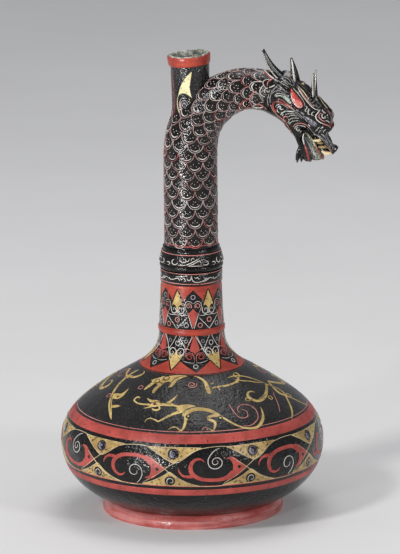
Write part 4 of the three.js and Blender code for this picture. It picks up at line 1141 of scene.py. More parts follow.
HIGH_SCROLLS = [
    [(-25, 28.4, 0.5), (-23, 28.8, 1.4), (-21.3, 28, 1.4), (-22, 26, 1.1), (-24.2, 25.4, 0.5)],
    [(-17, 32, 0.5), (-18.6, 30.6, 1.3), (-18.6, 28.4, 1.4), (-16.8, 27, 1.3), (-14.2, 27.2, 1.2),
     (-12.8, 28.8, 0.6)],
    [(-10.8, 34, 0.4), (-10.6, 31.4, 0.9), (-8.4, 29.8, 0.9), (-5.6, 29.8, 0.9), (-4.6, 31.4, 0.5)],
    [(-5.4, 33.6, 0.4), (-4.8, 31, 0.9), (-2.6, 31, 0.9), (-1.8, 33.8, 0.4)],
    [(-12.4, 26.6, 0.4), (-7, 26.8, 0.8), (-3.4, 27.8, 1.1), (0.4, 29.6, 1.1), (4, 31.4, 1.1),
     (8, 33.4, 0.5)],
    [(-2.4, 26.6, 0.4), (1.4, 28, 1), (4.6, 29.6, 1), (7.4, 31, 1), (9.4, 29, 0.5)],
    [(0, 31.2, 0.4), (0.2, 33, 0.9), (2.2, 33.8, 0.9), (3, 32.6, 0.4)],
    [(-3, 26.1, 0.4), (2, 26.3, 0.7), (7, 26.1, 0.8), (10.8, 25.8, 0.4)],
    [(13.8, 30.8, 0.5), (16, 29.8, 1.1), (16.4, 27.8, 1.1), (14.6, 26.6, 1), (11, 26.8, 0.4)],
]
COLLAR_REPEATS = 4
COLLAR_RADIUS = 27.9
LOW_START, LOW_SCALE = 1.2, 0.83
HIGH_START, HIGH_SCALE, HIGH_FOOT = 2.5, 0.93, 26
SCROLL_WIDTH = 0.96


def make_collar_paint(white, pink):
    for k in range(COLLAR_REPEATS):
        turn = FRONT + FULL * k / COLLAR_REPEATS
        for outline, start, scale, foot, scrolls in (
            (LOWER_COLLAR, LOW_START, LOW_SCALE, 0, LOW_SCROLLS),
            (UPPER_COLLAR, HIGH_START, HIGH_SCALE, HIGH_FOOT, HIGH_SCROLLS),
        ):
            wall = wall_at(outline, turn, start, COLLAR_RADIUS)
            for path in scrolls:
                white.line(wall, *[(x * SCROLL_WIDTH, (y - foot) * scale, w) for x, y, w in path],
                           step=1)
    band(pink, LOWER_COLLAR, LOW_START + 2, LOW_START + 2.9, 0.2)
    band(pink, LOWER_COLLAR, LOW_START + 11.2, LOW_START + 11.9, 0.15)
    band(pink, UPPER_COLLAR, 0.5, 1.5, 0.15)
    top_edge = UPPER_COLLAR.mark_of(BAND_TOP - 1)
    band(pink, UPPER_COLLAR, top_edge, top_edge + 0.9, 0.15)


def make_neck_paint():
    paints = [Paint(), Paint(), Paint(), Paint(0.78), Paint(0.85), Paint(0.85)]
    make_flare(*paints)
    make_sleeve(*paints)
    for paint, name, slot, material in zip(
        paints,
        ("black_ground", "red_kites", "gold_teeth", "white_lines", "pink_lines", "lilac_rings"),
        ("black_lacquer", "red_lacquer", "black_lacquer", "black_lacquer", "red_lacquer", "black_lacquer"),
        (BLACK, RED_STROKE, GOLD, WHITE, PINK, LILAC_LINE),
    ):
        paint.make("neck_" + name, slot, material)
    white, pink = Paint(0.85), Paint(0.85)
    make_collar_paint(white, pink)
    white.make("collar_scrolls", "black_lacquer", WHITE)
    pink.make("collar_pink_lines", "red_lacquer", PINK)


make_neck_paint()


# The scaled spout: straight up from the collar, over the elbow and along the arch to the head

SPOUT_END = (72.0, 385.3)
END_DIP = math.radians(20)
BEND_START = 330.0
CREST_X, CREST_Z = 47, 387.8
END_PULL = 11.9
THIN_RADIUS = 17.9
THIN_SHARE = 0.92  # how far along the bend the spout has grown thin


def spout_line():
    """Points on the spout's centre line, as (x, z), from the collar's top to the head."""
    end_pull = (SPOUT_END[0] - math.cos(END_DIP) * END_PULL, SPOUT_END[1] + math.sin(END_DIP) * END_PULL)
    rise = bezier((0, BEND_START), (0, 376.2), (44.5, CREST_Z), (CREST_X, CREST_Z), 70)
    fall = bezier((CREST_X, CREST_Z), (CREST_X + END_PULL, CREST_Z), end_pull, SPOUT_END, 24)
    foot = [(0.0, COLLAR_TOP + (BEND_START - COLLAR_TOP) * i / 40) for i in range(40)]
    return foot + rise + fall[1:]


class Spout:
    """The spout's round wall, read by the length along its centre line."""

    def __init__(self):
        self.line = spout_line()
        self.marks = marks_along(self.line)
        self.ways = [Vector((x1 - x0, z1 - z0)).normalized()
                     for (x0, z0), (x1, z1) in zip(self.line, self.line[1:])]
        self.length = self.marks[-1]
        self.bend = SCALED_TOP - COLLAR_TOP

    def radius(self, along):
        share = (along - self.bend - 2) / (self.length - self.bend - 2) / THIN_SHARE
        share = min(max(share, 0), 1)
        return NECK_RADIUS + (THIN_RADIUS - NECK_RADIUS) * share * share * (3 - 2 * share)

    def at(self, along):
        """The centre and the way on at a length along the line."""
        i, share = span_at(self.marks, along)
        (x0, z0), (x1, z1) = self.line[i], self.line[i + 1]
        before, here, after = (self.ways[min(max(k, 0), len(self.ways) - 1)] for k in (i - 1, i, i + 1))
        way = ((before + here).lerp(here + after, min(max(share, 0), 1))).normalized()
        return (x0 + (x1 - x0) * share, z0 + (z1 - z0) * share), way

    def point(self, turn, along, lift=0.0):
        """A point on the wall; turn is as on the straight neck, so the far side from the bend is pi."""
        (x, z), way = self.at(along)
        reach = self.radius(along) + lift + uneven(turn, along + COLLAR_TOP)
        side = reach * math.cos(turn)
        return (x + way.y * side, reach * math.sin(turn), z - way.x * side)


SPOUT = Spout()


def spout_wall(turn, along, base=0.0):
    """A sheet laid on the spout, its lift counted from a base height."""
    def place(x, y, lift):
        return SPOUT.point(turn + x / SPOUT.radius(along + y), along + y, lift + base)
    return place


def tube_mesh(start, end, step=1.4, segments=112, lift=0.0, wall=None):
    """A closed stretch of the spout; hollow if it has a wall."""
    count = max(2, round((end - start) / step))
    rows = [(start + (end - start) * i / count, lift) for i in range(count + 1)]
    if wall:
        rows += [(along, -wall) for along, _ in rows[::-1]]
    points = [SPOUT.point(FULL * k / segments, along, height)
              for along, height in rows for k in range(segments)]
    return points, skin(0, len(rows), segments, closed=bool(wall))


FILLER_RADIUS, FILLER_TOP_RADIUS, FILLER_WALL = 16.3, 17.9, 3.4
FILLER_FOOT, FILLER_SPREAD, FILLER_END, FILLER_TOP = 352.0, 372.0, 413.0, 419.0
RIM_BORE = 17.35
FILLET_FOOT, FILLET_END, FILLET_SPREAD = 350.0, 372.0, 5.5


def filler_radius(height):
    if height < FILLET_END:
        share = min(max((FILLET_END - height) / (FILLET_END - FILLET_FOOT), 0), 1)
        return FILLER_RADIUS + FILLET_SPREAD * share * share
    share = max(height - FILLER_SPREAD, 0) / (FILLER_TOP - FILLER_SPREAD)
    return FILLER_RADIUS + (FILLER_TOP_RADIUS - FILLER_RADIUS) * share


def solid(name, points, faces):
    """A bare mesh object to join or cut with."""
    mesh = bpy.data.meshes.new(name)
    mesh.from_pydata([in_frame(*p) for p in points], [], faces)
    obj = bpy.data.objects.new(name, mesh)
    bpy.context.scene.collection.objects.link(obj)
    return obj


def mesh_mm(mesh):
    """A mesh's points and faces, back in millimetres from the bottle's axis."""
    points = [(v.co.x / MM - AXIS_X, v.co.y / MM, v.co.z / MM) for v in mesh.vertices]
    return points, [tuple(p.vertices) for p in mesh.polygons]


def settled(obj, build):
    """The mesh that a row of modifiers makes of an object."""
    build(obj.modifiers)
    graph = bpy.context.evaluated_depsgraph_get()
    mesh = bpy.data.meshes.new_from_object(obj.evaluated_get(graph))
    obj.modifiers.clear()
    return mesh


def combined(body, others, operation):
    for other in others:
        def build(modifiers, other=other):
            step = modifiers.new("join", "BOOLEAN")
            step.operation, step.object, step.solver = operation, other, "EXACT"
        body.data = settled(body, build)
        bpy.data.objects.remove(other)


def rounded(body, voxel, rounds):
    """Grows one skin over the lumps of a mesh and softens it."""
    def build(modifiers):
        skin_over = modifiers.new("skin", "REMESH")
        skin_over.mode, skin_over.voxel_size = "VOXEL", voxel * MM
        soften = modifiers.new("soften", "SMOOTH")
        soften.factor, soften.iterations = 0.5, rounds
    body.data = settled(body, build)


def taken(body):
    """The mesh of a bare object, which is removed."""
    points, faces = mesh_mm(body.data)
    bpy.data.objects.remove(body)
    return points, faces


def lathe_solid(name, outline, segments=96):
    return solid(name, *turned(outline, segments))


ARCH_SHARE = 0.66  # where along the bend the elbow ends and the arch starts
FILLET_TOP, SEAT_TOP = 378, 400
JOINT_RADIUS = 20.5


def make_spout():
    neck_end, whole = SPOUT.bend, SPOUT.length
    arch_start = neck_end + (whole - neck_end) * ARCH_SHARE
    for name, start, end in (("scaled_neck", 0.2, neck_end), ("spout_arch", arch_start, whole)):
        piece(name, *tube_mesh(start, end, wall=NECK_WALL), "scale_lacquer", SCALE, replaced=[name])
    low = FILLET_FOOT - 4
    heights = [low + (FILLET_TOP - FILLET_FOOT + 4) * i / 30 for i in range(31)]
    fillet = lathe_solid("fillet", [(0.01, low), *[(filler_radius(z), z) for z in heights],
                                    (0.01, FILLET_TOP)])
    bore = solid("bore", *tube_mesh(neck_end - 6, arch_start + 6, 3.0, 48, lift=-NECK_WALL))
    seat = lathe_solid("seat", [(0.01, SCALED_TOP + 20), (FILLER_RADIUS + 0.1, SCALED_TOP + 20),
                                (FILLER_RADIUS + 0.1, SEAT_TOP), (0.01, SEAT_TOP)], 64)
    low_seat = lathe_solid("low_seat", [(0.01, SCALED_TOP - 9), (JOINT_RADIUS, SCALED_TOP - 9),
                                        (JOINT_RADIUS, SCALED_TOP + 12), (12.8, SCALED_TOP + 22),
                                        (0.01, SCALED_TOP + 22)], 64)
    elbow = solid("elbow", *tube_mesh(neck_end, arch_start, 2.0, 96))
    combined(elbow, [fillet], "UNION")
    rounded(elbow, 0.8, 6)
    combined(elbow, [bore, seat, low_seat], "DIFFERENCE")
    points, faces = taken(elbow)
    piece("elbow_branch", points, faces, "scale_lacquer", SCALE, replaced=["elbow_branch"])
    return BVHTree.FromPolygons(points, faces)


SCALES_ROUND = 10
SCALE_STEP, SCALE_DEPTH = 8.75, 9.2
SCALE_RAISED = 0.5
FIRST_SCALE, LAST_SCALE = 1.4, 3.0
SCALES_TURNED = -8.7  # degrees
UNDER_FILLER = 3.5  # how far the scales run in under the filling tube's fillet
WIDEST_HALF = 8.25  # half a scale's width on the straight neck
ACROSS, DEEP = 12, 6


def scale_edge(u):
    """How far above its tip a scale's rim lies, at u from -1 to 1 across it."""
    return SCALE_DEPTH * (1 - math.sqrt(max(0, 1 - (abs(u) * 0.994) ** 2.1)))


def clear_of_filler(turn, along):
    x, y, z = SPOUT.point(turn, along)
    return z < FILLET_FOOT or math.hypot(x, y) > filler_radius(z) - UNDER_FILLER


def elbow_wall(elbow, turn, along, base=0.0):
    """A sheet laid on the spout, and on the true skin of the elbow where it bulges."""
    low, high = SPOUT.bend + 1, SPOUT.bend + 52

    def place(x, y, lift):
        angle, spot = turn + x / SPOUT.radius(along + y), along + y
        if not low < spot < high:
            return SPOUT.point(angle, spot, lift + base)
        above = Vector(SPOUT.point(angle, spot, 7))
        on = Vector(SPOUT.point(angle, spot))
        way = (on - above).normalized()
        hit = elbow.ray_cast(above, way, 9)[0]
        return tuple((on if hit is None else hit) - way * (lift + base))
    return place


def grid(across, deep):
    """The faces of a grid of points, row by row, and the edges of its rim."""
    width = deep + 1
    corners = [i * width + j for i in range(across) for j in range(deep)]
    faces = [(a, a + width, a + width + 1, a + 1) for a in corners]
    return faces, rim_of(faces)


SCALE_FACES, SCALE_BORDER = grid(ACROSS, DEEP)
HALF_RIM = (0.2, 0.4, 0.6, 0.78, 0.9, 0.97, 1)
RIM_SPOTS = (*[-u for u in HALF_RIM[::-1]], 0, *HALF_RIM)


def add_scale(plates, wall, tip, half):
    """One raised scale, thinning towards its root, and the sheet under it."""
    count = (ACROSS + 1) * (DEEP + 1)
    plates.faces += two_sided(len(plates.points), count, SCALE_FACES, SCALE_BORDER)
    for top in (True, False):
        for i in range(ACROSS + 1):
            u = 2 * i / ACROSS - 1
            edge = scale_edge(u)
            for j in range(DEEP + 1):
                y = edge + (SCALE_STEP + 3.2 - edge * 0.75) * j / DEEP
                y = max(min(y, SPOUT.length - tip - 0.3), 0.3 - tip)
                lift = SCALE_RAISED * (1 - (j / DEEP) ** 0.7 * 1.25) if top else -0.5
                plates.points.append(wall(u * half, y, lift))


def make_scales(elbow):
    plates, arcs, dots = Paint(), Paint(0.8), Paint(0.9)
    outlines = {"pink": Paint(), "red": Paint(), "pale": Paint()}
    chance = random.Random(11)
    for row in range(int((SPOUT.length - LAST_SCALE) / SCALE_STEP) + 1):
        for k in range(SCALES_ROUND):
            turn = facing(SCALES_TURNED + 360 / SCALES_ROUND * (k + (0 if row % 2 else 0.5)))
            tip = FIRST_SCALE + SCALE_STEP * row + chance.uniform(-0.5, 0.5)
            colour = chance.choice(("pink", "pink", "pink", "pink", "red", "pale"))
            weight = chance.uniform(0.85, 1.15)
            bright = chance.choice((1.15, 1.0, 0.9, 0.45))
            marks = chance.randint(3, 6)
            sway = [chance.uniform(-0.6, 0.6) for _ in range(2 * marks)]
            if not clear_of_filler(turn, tip + 4):
                continue
            half = math.pi * SPOUT.radius(tip + 4) / SCALES_ROUND
            add_scale(plates, elbow_wall(elbow, turn, tip), tip, half)
            outer = [(u * half * 0.97, scale_edge(u) + 0.45, 0.8 * weight) for u in RIM_SPOTS]
            outer = [p for p in outer if 0.5 < p[1] + tip < SPOUT.length - 0.5]
            outlines[colour].stroke(elbow_wall(elbow, turn, tip, SCALE_RAISED - 0.04), outer)
            inner = [(math.sin(a) * half * 0.66, 2.3 + half * 0.62 * (1 - math.cos(a)),
                      bright * weight * math.cos(a * 1.3) + 0.1)
                     for a in (math.radians(degrees) for degrees in range(-60, 61, 12))]
            if tip + 8 < SPOUT.length:
                arcs.stroke(elbow_wall(elbow, turn, tip, SCALE_RAISED - 0.12), inner)
            for i in range(marks if tip + 11 < SPOUT.length else 0):
                x = (i - (marks - 1) / 2) * 2.3 + sway[2 * i]
                y = 5.6 + (i % 2) * 2.1 + sway[2 * i + 1]
                dots.dab(elbow_wall(elbow, turn, tip, SCALE_RAISED * 0.25), x * half / WIDEST_HALF, y,
                         0.5, 1, corners=6)
    for paint, name, material in (
        (plates, "spout_scales", SCALE),
        (outlines["pink"], "scale_outlines_pink", SCALE_PINK),
        (outlines["red"], "scale_outlines_red", SCALE_RED),
        (outlines["pale"], "scale_outlines_pale", SCALE_PALE),
        (arcs, "scale_white_arcs", WHITE),
        (dots, "scale_dots", SCALE_PALE),
        (edge_lines(), "neck_red_edge_lines", SCALE_RED),
    ):
        paint.make(name, "scale_lacquer", material)


def edge_lines():
    """The red line round the neck's foot and the two that climb its sides."""
    lines = Paint()
    around = FULL * NECK_RADIUS
    foot = [(around * k / 160, 3.4 + 0.3 * math.sin(FULL * k / 32), 1) for k in range(160)]
    lines.stroke(spout_wall(0, 0, SCALE_RAISED), foot, 1, closed=True)
    for degrees in (-82, 98):
        side = spout_wall(facing(degrees), 0, SCALE_RAISED)
        lines.stroke(side, [(0.5 * math.sin(y / 9), y, 1.1) for y in range(4, 100, 2)], 1)
    return lines


# The filling tube: worn black, with a pale claw and a roundel, and its tilted red rim


def filler_wall(turn, height):
    def place(x, y, lift):
        radius = filler_radius(height + y) + uneven(turn, height + y)
        angle = turn + x / radius
        reach = filler_radius(height + y) + uneven(angle, height + y) + lift
        return (reach * math.cos(angle), reach * math.sin(angle), height + y)
    return place


def lip_wave(turn):
    """The worn lip's rise and fall."""
    return (0.2 * math.sin(2 * turn + 0.6) + 0.16 * math.sin(5 * turn + 2.1)
            + 0.13 * math.sin(11 * turn + 0.4) + 0.09 * math.sin(23 * turn))


CLAW_SHAPE = [
    (7.4, 20.6), (5.2, 18.6), (2.2, 15.2), (-0.6, 11), (-3, 6.2), (-4.8, 1), (-5.4, -2.4), (-4.2, -0.8),
    (-2.2, 0.4), (0.4, 0.8), (3, 0), (5.4, -1.8), (7.2, -3.2), (6.2, 0.8), (5.6, 5), (5.8, 9.4), (6.4, 13),
    (7, 16.6),
]
CLAW_BACK = [(-6.2, -2, 0.6), (-5.6, 3, 1), (-3.6, 8.4, 1), (-1, 13, 1), (2.4, 17.4, 1), (6, 20.6, 0.5)]
ROUNDEL_EDGE = [
    (5, 6.6, 0.3), (6.3, 2.6, 0.5), (6.2, -2.6, 0.8), (4.2, -7.4, 1.2), (0.8, -9.4, 1.4), (-2.9, -7.7, 1.4),
    (-5.4, -3.4, 1.3), (-6.2, 1.8, 1.1), (-5.8, 6.2, 0.7), (-4.8, 8.8, 0.3),
]


def make_filler():
    heights = [FILLER_FOOT + (FILLER_END - FILLER_FOOT) * i / 38 for i in range(39)]
    tube = [(FILLER_RADIUS if z < FILLET_END else min(filler_radius(z), RIM_BORE), z) for z in heights]
    tube += [(FILLER_TOP_RADIUS - FILLER_WALL, FILLER_END), (FILLER_RADIUS - FILLER_WALL, FILLER_FOOT)]
    turned_piece("filler_tube", tube, "black_lacquer", BLACK_ROUGH, 128)
    claw, edge, roundel, dark, lines = (Paint() for _ in range(5))
    wall = filler_wall(facing(-20), 385)
    claw.field(wall, flowing(CLAW_SHAPE, 1.6, closed=True), 1)
    dark.line(wall, *CLAW_BACK)
    ring = filler_wall(facing(-22), 374.4)
    dark.dab(ring, 0.4, 0, 7.4, squash=1.3, corners=26)
    edge.line(ring, *ROUNDEL_EDGE, level=1)
    roundel.stroke(ring, coil(0.6, 0, 5, 0.9, 60, 2.6, 0.8, 0.5, squash=1.5), 1)
    for degrees, top in ((-60, 405), (-84, 404)):
        side = filler_wall(facing(degrees), 0)
        lines.stroke(side, [(0.3 * math.sin(z / 6), z, 0.9) for z in range(346, top, 2)])
    for paint, name, material in (
        (claw, "claw", CLAW), (edge, "ring_edge", CREAM), (roundel, "roundel", LILAC_LINE),
        (dark, "dark_edges", BLACK), (lines, "red_lines", SCALE_RED),
    ):
        paint.make("filler_" + name, "black_lacquer", material)


RIM_TILT = math.radians(4.5)
RIM_FOOT = (-0.5, 407.0)


def tilted(radius, turn, height):
    """A point of the rim's ring, whose right side stands higher."""
    x, z = radius * math.cos(turn), height
    return (RIM_FOOT[0] + x * math.cos(RIM_TILT) - z * math.sin(RIM_TILT), radius * math.sin(turn),
            RIM_FOOT[1] + x * math.sin(RIM_TILT) + z * math.cos(RIM_TILT))


def rim_ring(name, outline, material, replaced=(), segments=144):
    """A ring turned about the rim's own axis; the last value says how much the worn lip waves."""
    points = []
    for radius, height, wave in outline:
        for k in range(segments):
            turn = FULL * k / segments
            bulge = 0.12 * math.sin(3 * turn + 1) + 0.08 * math.sin(8 * turn)
            points.append(tilted(radius + bulge, turn, height + wave * (lip_wave(turn) - 0.45)))
    faces = skin(0, len(outline), segments, closed=True)
    piece(name, points, faces, "red_lacquer", material, replaced=replaced)


def make_rim():
    rim_ring("mouth_rim", [
        (17.2, 2.4, 0), (18.2, 2.4, 0), (18.7, 2.9, 0), (19, 5, 0), (19.25, 8, 0.2), (19.4, 10.6, 0.8),
        (19.1, 11.5, 1), (17.8, 11.4, 1), (17.2, 10, 0.5),
    ], RED, ["mouth_rim"])
    rim_ring("mouth_lip", [
        (15.8, 5.4, 0), (17.4, 5.4, 0), (17.4, 9, 0.4), (18, 11.4, 1), (17.8, 12.3, 1),
        (16.7, 12.4, 1), (15.9, 11.4, 1), (15.8, 8, 0.2),
    ], PATINA)


make_scales(make_spout())
make_filler()
make_rim()


# The dragon's head, laid out on a side chart; its left side mirrors the right one that is seen

HEAD_DIP = math.radians(48)
CHART_W = 11.0  # the chart's plane, from where points are cast along the line of sight onto the form
SIDES = {"right": -1, "left": 1}
SKIN_VOXEL = 0.62


def head_point(u, v, w):
    """A point of the head: u along its snout, v up from it and w across, in millimetres."""
    c, s = math.cos(HEAD_DIP), math.sin(HEAD_DIP)
    return (SPOUT_END[0] + u * c + v * s, w, SPOUT_END[1] - u * s + v * c)


class Form:
    """Closed lumps gathered into one mesh."""

    def __init__(self):
        self.points, self.faces = [], []

    def rings(self, rows):
        """A closed body through rings of equally many points."""
        self.faces += skin(len(self.points), len(rows), len(rows[0]))
        for row in rows:
            self.points += row

    def string(self, path, corners=12):
        """A round-ended string through (point, radius) pairs."""
        spots = [(Vector(p), r) for p, r in path]

        def end_rings(spot, inner, outwards):
            """Rings that round an end off."""
            way = (spot[0] - inner[0]).normalized() * outwards
            return [(spot[0] + way * (outwards * spot[1]) * math.sin(a), spot[1] * math.cos(a), way)
                    for a in (math.radians(degrees) for degrees in (22, 50, 80))]

        rows = end_rings(spots[0], spots[1], -1)[::-1]
        for i, (p, r) in enumerate(spots):
            way = spots[min(i + 1, len(spots) - 1)][0] - spots[max(i - 1, 0)][0]
            rows.append((p, r, way.normalized()))
        rings = []
        for p, r, way in rows + end_rings(spots[-1], spots[-2], 1):
            across = Vector((0, 1, 0)) if abs(way.y) < 0.9 else Vector((1, 0, 0))
            one = (across - way * across.dot(way)).normalized()
            two = way.cross(one)
            rings.append([tuple(p + one * math.cos(t) * r + two * math.sin(t) * r)
                          for t in (FULL * k / corners for k in range(corners))])
        self.rings(rings)

    def strand(self, side, *knots, step=2.0):
        """A string through (u, v, w, radius) on one side of the head."""
        self.string([(head_point(u, v, side * w), r) for u, v, w, r in flowing(knots, step)])

    def egg(self, side, u, v, w, length, height, depth, tilt, corners=20):
        """An egg-shaped lump, tipped nose up by a tilt in degrees."""
        c, s = math.cos(math.radians(tilt)), math.sin(math.radians(tilt))
        rows = []
        for i in range(1, 12):
            a = math.pi * i / 12
            x, r = -math.cos(a) * length, math.sin(a)
            row = []
            for k in range(corners):
                t = FULL * k / corners
                y = r * math.cos(t) * height
                row.append(head_point(u + x * c - y * s, v + x * s + y * c,
                                      side * (w + r * math.sin(t) * depth)))
            rows.append(row)
        self.rings(rows)

    def oval(self, cuts, corners=40, step=2.5):
        """A body through oval cuts: top and bottom (u, v), half the width and squareness."""
        rows = []
        for top_u, top_v, low_u, low_v, half, square in flowing(cuts, step):
            row = []
            for k in range(corners):
                t = FULL * k / corners
                up, out = (math.copysign(abs(f) ** (2 / square), f) for f in (math.cos(t), math.sin(t)))
                row.append(head_point((top_u + low_u) / 2 + (top_u - low_u) / 2 * up,
                                      (top_v + low_v) / 2 + (top_v - low_v) / 2 * up, half * out))
            rows.append(row)
        self.rings(rows)


def grown(form, voxel=SKIN_VOXEL, rounds=3, cutter=None):
    """The lumps of a form grown together into one smooth skin, and cut if a cutter is given."""
    body = solid("grown", form.points, form.faces)
    rounded(body, voxel, rounds)
    if cutter:
        combined(body, [solid("cutter", cutter.points, cutter.faces)], "DIFFERENCE")
    return taken(body)


def tree_of(*meshes):
    points, faces = [], []
    for some_points, some_faces in meshes:
        start = len(points)
        points += some_points
        faces += [tuple(i + start for i in face) for face in some_faces]
    return BVHTree.FromPolygons(points, faces)


def seen(tree, side, u, v):
    """Where the line of sight through a point of the side chart meets the form, and its normal."""
    through = Vector(head_point(u, v, side * CHART_W))
    eye = Vector((VIEWER[0], -side * VIEWER[1], VIEWER[2]))
    way = (through - eye).normalized()
    where, out, _, _ = tree.ray_cast(through - way * 60, way, 90)
    if where is None:
        where, out, _, _ = tree.find_nearest(through)
    return where, -out if out.dot(way) > 0 else out


def head_wall(tree, side):
    """The side chart laid on the head as a sheet for paint; x is u, turned over on the left."""
    def place(x, y, lift):
        where, out = seen(tree, side, -side * x, y)
        return tuple(where + out * lift)
    return place


def on_side(side, knots):
    """Knots of the side chart on that sheet."""
    return [(-side * u, *rest) for u, *rest in knots]


def back_cut(distance, radius):
    """The round cut at the end of the spout, which the head stands askew on."""
    tilt = HEAD_DIP - END_DIP
    c, s = math.cos(tilt), math.sin(tilt)
    return (distance * c - radius * s, distance * s + radius * c,
            distance * c + radius * s, distance * s - radius * c, radius, 2.0)


SKULL_CUTS = (
    back_cut(0.05, THIN_RADIUS - 0.1), (1, 20, 15, -12.8, 17.6, 2.2), (10, 24.6, 22, -10.2, 17.6, 2.2),
    (20, 26.4, 30, -8.6, 17.4, 2.2), (28, 27.8, 36, -6.5, 16.4, 2.2), (37, 29.6, 41.5, -1.5, 14.9, 2.2),
    (47, 29.2, 49, 3, 12.8, 2.2), (54.5, 26.6, 57, 5.4, 11.4, 2.2), (59.4, 20, 62.5, 5.8, 10.4, 2.2),
    (61, 14, 66, 6, 10, 2.2), (66, 11.2, 71, 5.8, 9.2, 2.2), (73, 10.8, 76, 5.6, 7.8, 2.2),
    (78.6, 10.8, 78.8, 4.7, 5.2, 2.2),
)
THROAT_CUTS = (
    back_cut(-1.0, 11.0), (7, 12, 15, -6, 11, 2.2), (22, 11, 27, -4.5, 9, 2.2), (37, 9.5, 40, -2, 7.5, 2.2),
    (47, 9, 49, 0.5, 7, 2.2), (58, 9.5, 60, 2.5, 6, 2.2), (68, 9.2, 70, 3, 4.6, 2.2),
)
JAW_CUTS = (
    (34, -1, 32, -7.4, 12, 2.2), (42, -1.8, 41, -8.8, 11.6, 2.2), (50, -3.6, 50, -10.8, 10.8, 2.2),
    (58, -7.6, 57.5, -12.8, 9.4, 2.2), (64.5, -11, 63.5, -15.4, 8.2, 2.2), (69.4, -13.8, 68, -17, 5.4, 2.2),
)
TONGUE_CUTS = (
    (41, 0.2, 41, -3, 5.8, 2.2), (50, 1.2, 49.5, -5, 6.8, 2.2), (58, 0.9, 57, -8.2, 6.9, 2.2),
    (66, -1.4, 64, -11.4, 6, 2.2), (73, -2.9, 69, -13.2, 4.4, 2.2), (76.3, -3.9, 73, -10.4, 2.2, 2.2),
)

# Ridges and lines: colour, its width, the ridge's radius (0 for none of either), knots (u, v)

